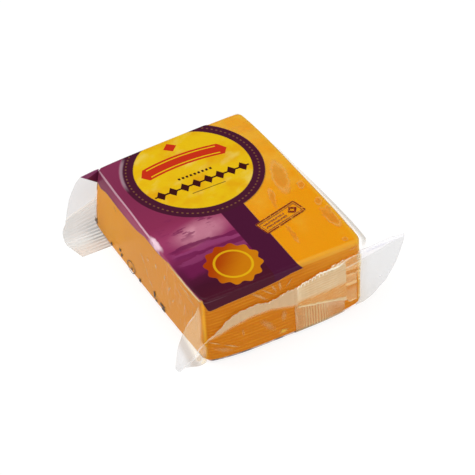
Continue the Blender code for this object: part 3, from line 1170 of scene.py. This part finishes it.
# %% The finish of milky film
MILKY = (0.62, 0.615, 0.63)
WARM_MILK_LIGHT = (1.0, 0.86, 0.62)
BRIGHT = (1.0, 1.0, 1.0)


def start_milky(name, reflection=0.2):
    """The start of a material for milky film."""
    return start_material(name, Roughness=0.3, Specular_IOR_Level=reflection)


def finish_milky(piece, material):
    """Finishes a piece of milky film. It scatters light forwards, so what lies behind it stays lit."""
    piece.visible_shadow = False
    finish_piece(piece, material, "film")


# %% The right ear's finish
# The right ear's folds and its rolled top strip are painted white: painted highlights on real folds.
RIGHT_FOLD_HIGHLIGHTS = (
    ((45.8, 9.4), (1.5, 0.3), 22.0, 0.9),
    ((44.0, 26.0), (13.5, 1.0), -1.5, 0.7),
)
NEAR_TAN_LIGHT = (0.72, 0.6, 0.44)
FOOT_TAN = (0.56, 0.5, 0.44)
STRIP_WHITE_HIGHLIGHT = (0.98, 0.97, 1.0)
LILAC = (0.68, 0.66, 0.8)
RIM_SHADE = (0.45, 0.44, 0.48)

right_ear_finish, ear_shader, place = start_milky("milky_film_right")
x, y, z = place.parts()
near_block = x.rise(41.0, 36.0)
rim = (z - x.profile(RIGHT_EAR_FOOT)).rise(0.8, 0.2) * x.rise(38.0, 42.0)
from_top = x.profile(RIGHT_EAR_TOP) - z
from_tip = RIGHT_EAR_TIP - x
strip = (from_top - 0.5 - from_tip * 0.18).rise(0.4, -0.4) * x.rise(35.2, 36.4)
strip_line = abs(from_top - 0.5 - from_tip * 0.04).rise(0.6, 0.1) * place.noise(5.0).rise(0.4, 0.6)
folds_and_highlights = brightest_of(flat(x, z), RIGHT_FOLD_HIGHLIGHTS)
# Near the block the film is painted warm, for the cheese's light on it.
tint = layered(
    mix(near_block * (0.45 + z.rise(14.0, 2.0) * 0.5), MILKY, NEAR_TAN_LIGHT),
    (z.rise(12.0, 2.0) * x.rise(50.0, 40.0) * 0.6, FOOT_TAN),
    (strip.larger(folds_and_highlights), STRIP_WHITE_HIGHLIGHT),
    (strip_line * 0.6, LILAC),
    (rim * 0.5, RIM_SHADE),
)
haze = place.stretched(1.0, 1.0, 0.4).noise(7.0, detail=1.0)
opacity = 0.2 + haze * 0.06 + near_block * 0.06 + strip * 0.2
opacity = opacity.larger(folds_and_highlights * 0.6)
plug(ear_shader, Base_Color=tint, Alpha=opacity, Normal=bumped(haze * 0.3, 0.4))
finish_milky(right_ear, right_ear_finish)

# %% The left ear's finish
# The film near the block is painted warm, for the cheese's light on it, and next to it lies a band of painted
# shade, as dark as the floor's shade behind it. Low down lies a patch of painted shade, and the folds are
# painted white as highlights.
LEFT_FOLD_HIGHLIGHTS = (
    ((-41.5, 26.6), (6.4, 0.3), 47.5, 0.8),
    ((-39.4, 8.4), (5.4, 0.6), 48.0, 0.9),
    ((-41.9, 5.2), (3.4, 0.6), 60.0, 0.8),
    ((-37.6, 2.6), (2.0, 0.7), 8.0, 0.5),
)
SHADE_BROWN = (0.42, 0.29, 0.17)
NEAR_CREAM_LIGHT = (1.0, 0.86, 0.58)
FOOT_YELLOW = (0.82, 0.6, 0.14)
SHADE_PATCH_TAN = (0.68, 0.5, 0.28)

left_ear_finish, ear_shader, place = start_milky("milky_film_left")
x, y, z = place.parts()
plane = flat(x, z)
block_side = x + 45.4 - (22.2 - z) * 0.34
near_block = block_side.rise(-1.8, 0.6)
shade_band = block_side.rise(-5.6, -2.6)
folds_and_highlights = brightest_of(plane, LEFT_FOLD_HIGHLIGHTS)
shade_patch = oval(plane, (-38.8, 4.8), (1.6, 2.4), 20.0).rise(1.0, 0.6)
tint = layered(
    mix(shade_band * 0.85, MILKY, SHADE_BROWN),
    (near_block * z.rise(2.6, 6.0), NEAR_CREAM_LIGHT),
    (oval(plane, (-36.6, 2.0), (2.2, 2.6)).rise(1.0, 0.3), FOOT_YELLOW),
    (shade_patch, SHADE_PATCH_TAN),
    (folds_and_highlights, BRIGHT),
)
haze = place.stretched(1.0, 1.0, 0.4).noise(6.0, detail=1.0)
opacity = 0.16 + haze * 0.06 + z.rise(9.0, 3.0) * 0.06 + shade_band * (1 - near_block) * 0.1
opacity = opacity.larger(shade_patch * 0.4).larger(folds_and_highlights * 0.5)
opacity = opacity * (x - z.rise(14.0, 8.0) * 2.4).rise(-37.1, -38.3)
plug(ear_shader, Base_Color=tint, Alpha=opacity, Normal=bumped(haze * 0.3, 0.4))
finish_milky(left_ear, left_ear_finish)

# %% [markdown]
# ## The front seal
#
# The front of the tube is crimped shut in one long ribbed band, which is folded up and lies on the front
# face. Its free edge is cut in a zig-zag, and its sparkle is painted on as glints. The band is narrow on the
# left, where it runs down into the ear, and broad on the right, where the end of the lengthwise seal lies
# under it.

# %% Model the front seal
SEAL_FREE_EDGE = (
    (-46, 4.4), (-42.4, 7.2), (-36.7, 13), (-32.3, 15.6), (-28.7, 18.1), (-27, 20), (-23.9, 21.6),
    (-20.7, 22.4), (-12, 22.6), (-8.3, 21.4), (-5, 21.8), (-2, 22.8), (5, 23.5), (11, 24.8),
    (15.4, 26), (18.9, 25.8), (22, 27.2), (24.4, 26.9), (26.6, 27.9), (32.1, 27.9), (36.6, 27.2),
)
SEAL_FOLD = (
    (-46, 2.4), (-43.2, 5), (-36.3, 11.6), (-30.4, 12.8), (-24.6, 14.7), (-18.7, 15.8), (-14.7, 16.3),
    (-6.7, 16), (3, 13.6), (8.2, 12.1), (18.1, 10.1), (23.7, 8.4), (27.8, 6.6), (30, 4.6), (36.6, 4),
)
SEAL_BRIGHT_LINE = (
    (-46, 3), (4, 23.2), (11, 24.7), (15.8, 25.4), (21.9, 25), (25.1, 25), (28, 26.4), (32, 27.5), (36.6, 27),
)
WEDGE_FOOT = ((5.6, 13.3), (15.9, 11.1), (23.7, 9.4), (27.7, 8.3))
TOOTH = 0.6
TOOTH_PITCH = 1.7
RIB_SPACING = 1.6
SEAL_LEFT = -46.0
SEAL_RIGHT = 35.6
SEAL_THICKNESS = 0.12 * MM


def seal_place(s, t):
    x = SEAL_LEFT + (SEAL_RIGHT - SEAL_LEFT) * s
    fold = read_off(SEAL_FOLD, x)
    toothed = min(1.0, max(0.0, (x + 12.0) / 14.0))
    tooth = abs((x / TOOTH_PITCH) % 1.0 - 0.5) * 2 * TOOTH * (0.3 + 0.7 * toothed)
    ragged = 0.25 * math.sin(x * 1.3) * math.sin(x * 0.47 + 1.0)
    free = read_off(SEAL_FREE_EDGE, x) - tooth + ragged
    z = fold + t * (free - fold)
    below = free + tooth - z
    ribs = 0.05 * math.sin(2 * math.pi * z / RIB_SPACING) * min(1.0, max(0.0, (x - 2) / 4))
    curl = 0.35 * max(0.0, 1 - below / RIB_SPACING) ** 2
    wave = 0.16 * math.sin(x * 0.9) * math.sin(x * 0.37)
    ticks = 0.14 * math.sin(2 * math.pi * x / TOOTH_PITCH) * bell(below, 1.6, 1.5) * bell(x, 12.0, 9.0)
    y = front_y(x * MM, z * MM) / MM - 0.3 - ribs - curl - abs(wave) + ticks
    return Vector((x, y, z)) * MM


seal = add_sheet("front_seal", 330, 60, seal_place, SEAL_THICKNESS)

# %% Where the front seal gets painted glints
seal_finish, seal_shader, place = start_milky("crimped_film", 0.25)
x, y, z = place.parts()
below_free = x.profile(SEAL_FREE_EDGE) - z
above_fold = z - x.profile(SEAL_FOLD)
below_line = x.profile(SEAL_BRIGHT_LINE) - z
panel = x.rise(4.3, 5.6)
stripe_part = x.rise(27.6, 28.4)
soft = place.noise(5.0, detail=1.0)
ragged_line = below_line + (place.noise(1.5) - 0.5) * 0.9
# The bright line near the seal's lower edge, the ticks, the flecks on the free edge and the lines on the
# panel are painted highlights.
line = abs(ragged_line).rise(0.8, 0.25) * x.rise(3.0, 6.0) * (1 - x.rise(25.0, 28.0) * 0.5)
second_line = abs(z - 22.6 - (x - 28.0) * 0.05 + (place.noise(2.0) - 0.5)).rise(0.7, 0.2) * stripe_part
ticks = (x * (2 * math.pi / TOOTH_PITCH) + soft).sine().rise(0.2, 0.8) * ragged_line.rise(2.4, 1.4)
ticks = ticks * ragged_line.rise(-0.3, 0.2) * x.rise(3.5, 5.5) * x.rise(21.0, 18.0)
flecks = place.noise(1.3, detail=1.0).rise(0.55, 0.68) * below_free.rise(1.6, 0.9) * x.rise(-14.0, -2.0)
panel_end = abs(x - 5.2 - (z - 20.0) * 0.22).rise(0.7, 0.15) * panel
free_edge = below_free.rise(0.5, 0.2) * x.rise(6.0, 0.0)
painted_sparkle = line.larger(ticks * 0.85).larger(flecks * 0.9).larger(second_line * 0.5)
painted_sparkle = painted_sparkle.larger(panel_end * 0.45).larger(free_edge * 0.4)

# %% Where the front seal is milky
# At the seal's right end the film is clear but for level stripes. Each stripe has a height and a strength.
STRIPES = (
    (0, 0.2), (4.6, 0.2), (5, 0.75), (5.6, 0.75), (6, 0.4), (10.5, 0.34), (13.2, 0.1), (14, 0.75),
    (14.8, 0.8), (15.4, 0.4), (18.2, 0.45), (18.8, 0.75), (19.4, 0.2), (20.8, 0.15), (21.4, 0.6),
    (23.2, 0.55), (24, 0.3), (30, 0.4),
)
FIN_MILK = (0.76, 0.62, 0.38)
FIN_FOOT = (0.84, 0.52, 0.2)
PANEL_DEEP = (0.81, 0.67, 0.39)
PANEL_PALE = (0.9, 0.81, 0.54)
WEDGE_DEEP = (0.87, 0.5, 0.13)
WEDGE_PALE = (0.94, 0.76, 0.42)
ABOVE_LINE_TAN = (0.9, 0.67, 0.34)
STRIPE_YELLOW = (1.0, 0.79, 0.39)
OUTER_MILK = (0.93, 0.88, 0.82)
SEAL_HIGHLIGHT = (1.0, 0.97, 0.8)

drawn_out = place.stretched(0.3, 1.0, 1.0).noise(4.0)
level_ribs = (z * (2 * math.pi / 1.1) - x * 0.17 + drawn_out * 5.0).sine()
level_ribs = level_ribs.rise(-0.9, 1.0) * (0.2 + soft * 1.1)
wedge_lines = (z * (2 * math.pi / 1.3) - x * 0.9 + drawn_out * 4.0).sine().rise(-0.2, 0.9) * (0.3 + soft)
stripes = (z + (x - 28.0) * 0.16 + (place.noise(3.0) - 0.5) * 0.5).profile(STRIPES)
wedge = (15.3 - z).rise(-1.4, 0.8) * (z - x.profile(WEDGE_FOOT)).rise(-0.3, 0.6) * panel
near_left = x.rise(10.0, 5.5) * panel * z.rise(14.5, 17.0)
hem = above_fold.rise(0.55, 0.2) * x.rise(26.0, 16.0)
outside = x.rise(-36.0, -38.0)
above_line = ragged_line.rise(0.0, -0.3) * x.rise(12.0, 15.0)
milk = 0.45 + soft * 0.04 - outside * 0.17 - above_line * 0.1 - wedge * 0.16
milk = milk * (1 - (1 - panel) * above_fold.rise(2.2, 0.0) * 0.95)
milk = milk * (1 - stripe_part) + stripe_part * stripes * 0.5
opacity = milk.larger(painted_sparkle * 0.75)
panel_tone = mix(level_ribs.larger(near_left).larger(hem), PANEL_DEEP, PANEL_PALE)
colour = layered(
    mix(panel, FIN_MILK, panel_tone),
    (wedge, mix(wedge_lines, WEDGE_DEEP, WEDGE_PALE)),
    (above_fold.rise(2.0, 0.2) * (1 - panel), FIN_FOOT),
    (above_line, ABOVE_LINE_TAN),
    (stripe_part, STRIPE_YELLOW),
    (outside, OUTER_MILK),
    (painted_sparkle.rise(0.1, 0.8), SEAL_HIGHLIGHT),
)
height = level_ribs * panel * 0.08 + painted_sparkle * 0.1
plug(seal_shader, Base_Color=colour, Alpha=opacity, Normal=bumped(height, 0.35))
finish_milky(seal, seal_finish)

# %% [markdown]
# ## The lengthwise seal
#
# The tube is closed along the middle of the underside by a flat strip. At the front its end comes round
# the block's foot and up the front face, where it puckers into upright waves. One sheet follows the whole
# way: down the front, round the foot and back along the underside, just over the floor.

# %% Model the lengthwise seal
STRIP_LEFT = 3.6
STRIP_RIGHT = 27.0
STRIP_HEIGHT = 0.1
FOOT_RADIUS = 1.5
STRIP_BACK = 44.0
STRIP_THICKNESS = 0.1 * MM
OVERLAP = 0.5
FRONT_SHARE = 0.4
ARC_SHARE = 0.12


def strip_front(x, z):
    """The y of the strip on the front face, just before the film there."""
    return front_y(x * MM, z * MM) / MM - 0.12


def strip_place(s, t):
    """s runs across the strip, t runs from its top on the front face to its back end."""
    x = STRIP_LEFT + (STRIP_RIGHT - STRIP_LEFT) * s
    foot_y = strip_front(x, FOOT_RADIUS + STRIP_HEIGHT)
    strip_top = read_off(SEAL_FOLD, x) + OVERLAP
    if t < FRONT_SHARE:
        z = strip_top + (FOOT_RADIUS + STRIP_HEIGHT - strip_top) * t / FRONT_SHARE
        y = strip_front(x, z)
        y -= 0.1 * (1 + math.sin(x * 5.0 + 0.8 * math.sin(z * 0.6) + math.sin(x * 0.8))) * bell(z, 6.0, 5.5)
        return Vector((x, y, z)) * MM
    if t < FRONT_SHARE + ARC_SHARE:
        angle = math.pi / 2 * (t - FRONT_SHARE) / ARC_SHARE
        y = foot_y + FOOT_RADIUS * (1 - math.cos(angle))
        z = STRIP_HEIGHT + FOOT_RADIUS * (1 - math.sin(angle))
        return Vector((x, y, z)) * MM
    share = (t - FRONT_SHARE - ARC_SHARE) / (1 - FRONT_SHARE - ARC_SHARE)
    y = foot_y + FOOT_RADIUS + (STRIP_BACK - foot_y - FOOT_RADIUS) * share
    return Vector((x, y, STRIP_HEIGHT)) * MM


strip = add_sheet("lengthwise_seal", 110, 90, strip_place, STRIP_THICKNESS)

# %% The finish of the lengthwise seal
# Folds on the strip, painted pale as highlights.
STRIP_FOLD_HIGHLIGHTS = (
    ((20.5, 4.6), (2.4, 0.4), 10.0, 0.5),
    ((24.6, 5.8), (3.4, 0.7), 36.0, 0.35),
    ((4.4, 8.0), (0.5, 5.5), 4.0, 0.3),
)
STRIP_DEEP = (0.7, 0.45, 0.2)
STRIP_PALE = (0.82, 0.68, 0.38)
STRIP_TOP = (0.88, 0.76, 0.5)
STRIP_FOLD_HIGHLIGHT = (0.95, 0.85, 0.6)
STRIP_FOOT_SHADOW = (0.12, 0.06, 0.07)

strip_finish, strip_shader, place = start_milky("puckered_film", 0.25)
x, y, z = place.parts()
waver = place.stretched(1.0, 1.0, 0.3).noise(3.0) * 5.0
pucker = (x * 5.0 + waver).sine().rise(-0.6, 0.9) * x.rise(6.0, 9.0) * x.rise(24.0, 17.0)
pucker = pucker * (0.35 + place.noise(4.0) * 0.9) * z.rise(0.4, 1.6)
folds_and_highlights = brightest_of(flat(x, z), STRIP_FOLD_HIGHLIGHTS) * y.rise(-46.0, -47.5)
below_fold = x.profile(SEAL_FOLD) - z
pale_top = below_fold.rise(4.5, 0.5) * x.rise(13.0, 19.0)
# Along the strip's foot a dark line is painted as contact shadow.
foot_shadow = z.rise(0.9, 0.5) * y.rise(-47.5, -48.5) * x.rise(27.0, 16.0)
opacity = (0.36 - x.rise(15.0, 24.0) * 0.12 + pucker * 0.03).larger(folds_and_highlights * 0.6) * below_fold.rise(-0.6, 0.2)
opacity = opacity.larger(foot_shadow * 0.6)
tint = layered(
    mix(pucker.larger(folds_and_highlights), STRIP_DEEP, STRIP_PALE),
    (pale_top * 0.8, STRIP_TOP),
    (folds_and_highlights, STRIP_FOLD_HIGHLIGHT),
    (foot_shadow, STRIP_FOOT_SHADOW),
)
plug(strip_shader, Base_Color=tint, Alpha=opacity, Normal=bumped(pucker * 0.15, 0.4))
finish_milky(strip, strip_finish)

# %% [markdown]
# ## The back seal and its ears
#
# At the back the tube is crimped in the same way, but the band is folded down and forwards, under the
# block. So the back ears stand up against the block's corners, bend at the floor and run forwards as a
# ribbed fin. One sheet per side follows that bend: down, round a small arc, and along the floor.

# %% Model the back ears
BACK_EAR_Y = 45.0
BEND_RADIUS = 3.0
FIN_HEIGHT = 0.45
BACK_LEFT_EDGE = (
    (0, -52.9), (5.2, -53.2), (7.7, -52.6), (9.2, -51.6), (12.1, -51.2), (16.7, -50.2), (22.3, -48.9),
    (26.2, -47.2), (29.8, -45.2), (31.9, -43),
)
BACK_RIGHT_EDGE = ((0, 50.5), (2, 50.5), (7.5, 49), (14, 46), (21.5, 42), (29.5, 37.8), (32, 37.2))
CREASE_X = 44.7
CREASE_Z = 15.0
CREASE_SLOPE = 0.37
EAR_LENGTH = 46.0
PLEAT_PITCH = 2.1
UPRIGHT_SHARE = 0.6
BEND_SHARE = 0.12


def back_ear_rule(edge, inner_x, top_z, top_rise, fin_y, fin_edge_x):
    """The rule of one back ear: s runs from its outer edge to the block, t from its top to the fin's end."""

    def back_ear_place(s, t):
        if t < UPRIGHT_SHARE:
            top = top_z + top_rise * min(1.0, s * 1.3)
            z = top + (BEND_RADIUS + FIN_HEIGHT - top) * t / UPRIGHT_SHARE
            y = BACK_EAR_Y
            outer = read_off(edge, z)
        elif t < UPRIGHT_SHARE + BEND_SHARE:
            angle = math.pi / 2 * (t - UPRIGHT_SHARE) / BEND_SHARE
            z = FIN_HEIGHT + BEND_RADIUS * (1 - math.sin(angle))
            y = BACK_EAR_Y - BEND_RADIUS * (1 - math.cos(angle))
            outer = read_off(edge, z)
        else:
            share = (t - UPRIGHT_SHARE - BEND_SHARE) / (1 - UPRIGHT_SHARE - BEND_SHARE)
            z = FIN_HEIGHT
            y = BACK_EAR_Y - BEND_RADIUS + (fin_y - BACK_EAR_Y + BEND_RADIUS) * share
            outer = edge[0][1] + (fin_edge_x - edge[0][1]) * share
        x = outer + (inner_x - outer) * s
        outside = min(1.0, max(0.0, (abs(x) - 36.5) / 2.0))
        pleats = math.sin(2 * math.pi * t * EAR_LENGTH / PLEAT_PITCH) * min(1.0, max(0.0, (t - 0.42) / 0.25))
        swell = 0.14 * pleats * outside
        crease = 0.45 * bell(z + CREASE_SLOPE * (abs(x) - CREASE_X), CREASE_Z, 1.4) * outside
        if t < UPRIGHT_SHARE + BEND_SHARE / 2:
            y -= swell + crease
        else:
            z += swell
        return Vector((x, y, max(z, 0.12))) * MM

    return back_ear_place


back_left = add_sheet("back_left_ear", 44, 150, back_ear_rule(BACK_LEFT_EDGE, -34.5, 31.8, 0.95, 32.4, -50.4))
back_right = add_sheet("back_right_ear", 40, 150, back_ear_rule(BACK_RIGHT_EDGE, 34.5, 29.5, 0.0, 29.5, 49.5))


# %% The finish of the back ears
RIB_SHADE = (0.34, 0.33, 0.3)
RIB_LIT = (0.66, 0.65, 0.62)
ROOT_SHADOW = (0.1, 0.1, 0.08)
FIN_WARM = (0.66, 0.53, 0.42)
CREASE_HIGHLIGHT = (0.98, 0.97, 0.86)
INK_LIT = (0.27, 0.06, 0.16)
INK_SHADED = (0.125, 0.008, 0.045)


def back_ear_material(name, printed_top):
    """Milky ribbed film; the left ear's top corner belongs to the print."""
    material, shader, place = start_milky(name)
    x, y, z = place.parts()
    reach = abs(x)
    crease_height = CREASE_Z - (reach - CREASE_X) * CREASE_SLOPE
    above_crease = z - crease_height + (place.noise(3.0) - 0.5) * 0.6
    ribbed = above_crease.rise(0.0, -1.2)
    # How far a point lies from the bend. Up the ear this is negative, and scaled by the crease's height.
    walked = BACK_EAR_Y - y - z
    walked = walked.larger(0.0) + walked.smaller(0.0) * CREASE_Z / crease_height
    grain = flat(walked, reach * 0.06).noise(2.6, detail=2.0)
    pleats = (walked * (2 * math.pi / 1.9) + grain * 5.0).sine().rise(-0.9, 0.9)
    pleats = 1 - (1 - pleats) * (0.2 + reach.rise(48.0, 39.0) * walked.rise(-12.0, 0.0) * 0.8)
    second_crease = abs(above_crease + 2.1).rise(0.8, 0.2) * reach.rise(50.0, 40.0) * 0.5
    crease = abs(above_crease).rise(0.75, 0.15).larger(second_crease)
    haze = place.noise(7.0, detail=1.0)
    # The pleats are painted dark and pale for their shade and light, the root of the pleats is painted dark
    # as shadow, the creases get a painted pale highlight, and the film near the block is painted warm for the
    # cheese's light.
    tint = layered(
        mix(ribbed, MILKY, mix(pleats, RIB_SHADE, RIB_LIT)),
        (reach.rise(44.0, 37.0) * z.rise(9.0, 4.5) * (1 - pleats) * 0.8, ROOT_SHADOW),
        (y.rise(41.0, 36.0) * z.rise(3.0, 1.0) * 0.6, FIN_WARM),
        (reach.rise(37.4, 36.0) * z.rise(12.0, 16.0) * 0.6, WARM_MILK_LIGHT),
        (crease * 0.85, CREASE_HIGHLIGHT),
    )
    opacity = 0.2 + haze * 0.05 + ribbed * 0.09 + ribbed * (1 - pleats) * 0.06 + y.rise(45.0, 39.0) * 0.13
    opacity = opacity.larger(crease * 0.34)
    if printed_top:
        # The print on the left ear's top corner is painted as a lit and a shaded copy of the ink, the lit one
        # along the top.
        ink = (z - 26.3 - (reach - 36.0) * 0.79).rise(-0.2, 0.2)
        ink_shade = (32.3 - (reach - 34.0) * 0.4545 - z).rise(-0.2, 0.2)
        tint = mix(ink, tint, mix(ink_shade, INK_LIT, INK_SHADED))
        opacity = opacity.larger(ink)
    height = pleats * ribbed * 0.2 + haze * 0.3
    plug(shader, Base_Color=tint, Alpha=opacity, Normal=bumped(height, 0.5))
    return material


finish_milky(back_left, back_ear_material("ribbed_film_left", True))
finish_milky(back_right, back_ear_material("ribbed_film_right", False))

# %% [markdown]
# ## The marks on the side
#
# A few small dark marks are printed low on the left side. They are plain bars and a ring here, each one
# a thin plate that lies on the film, following the side's gentle bulge.

# %% Model the side marks
# Each bar has its middle y and z and its length and height, in millimetres.
BARS = (
    (45.6, 4.4, 2.2, 2.4),
    (30.1, 3.2, 1.2, 1.6),
    (22.2, 6.0, 1.4, 1.2),
    (20.8, 4.0, 1.2, 1.6),
    (11.8, 3.5, 1.3, 1.0),
    (4.8, 2.8, 1.3, 1.9),
    (-7.8, 5.2, 1.0, 3.4),
    (-9.2, 2.9, 1.6, 0.9),
    (-14.3, 4.2, 3.6, 1.1),
    (-15.0, 2.6, 2.4, 1.3),
)
MARK_RING = (12.3, 4.2)
MARK_RING_RADIUS = 3.0
MARK_LINE = 0.35
MARK_LIFT = 0.04 * MM
INK_BROWN = (0.02, 0.012, 0.01)
INK_WORN = (0.09, 0.04, 0.02)


def on_left(y, z):
    """A place on the left side of the film, lifted a little off it."""
    true = Vector((-WIDTH / 2, y * MM, z * MM))
    return block_form(true) - Vector((MARK_LIFT, 0.0, 0.0))


parts = []
for y, z, length, height in BARS:
    def bar_place(s, t, y=y, z=z, length=length, height=height):
        return on_left(y + length * (s - 0.5), z + height * (t - 0.5))

    parts.append(add_sheet("bar", 8, 4, bar_place, MARK_LIFT))


def ring_place(s, t):
    turn = 2 * math.pi * s
    radius = MARK_RING_RADIUS + MARK_LINE * t
    return on_left(MARK_RING[0] + radius * math.cos(turn), MARK_RING[1] + radius * math.sin(turn) * 0.9)


parts.append(add_sheet("ring", 36, 2, ring_place, MARK_LIFT))
select_only(*parts)
bpy.ops.object.join()
marks = named("side_marks")
start_editing(marks)
bpy.ops.mesh.select_all(action="SELECT")
bpy.ops.mesh.remove_doubles(threshold=1e-6)
bpy.ops.object.mode_set(mode="OBJECT")

ink_finish, ink_shader, place = start_material("dark_ink", Specular_IOR_Level=0.4)
worn = place.noise(0.7, detail=2.0)
plug(
    ink_shader,
    Base_Color=mix(worn.rise(0.35, 0.75), INK_BROWN, INK_WORN),
    Roughness=0.3 + worn * 0.3,
)
finish_piece(marks, ink_finish, "print")

# %% [markdown]
# ## The sizes, side by side
#
# Both boxes are printed, the dressed model's beside the solid model's, so that they can be compared.
# The dressed model has to keep to the solid model's box.

# %% Write the sizes and finish
visual_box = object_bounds()
for axis, name in enumerate("xyz"):
    solid = (cad_box[1][axis] - cad_box[0][axis]) / MM
    dressed = (visual_box[1][axis] - visual_box[0][axis]) / MM
    print(name, "solid", round(solid, 2), "mm, dressed", round(dressed, 2), "mm")
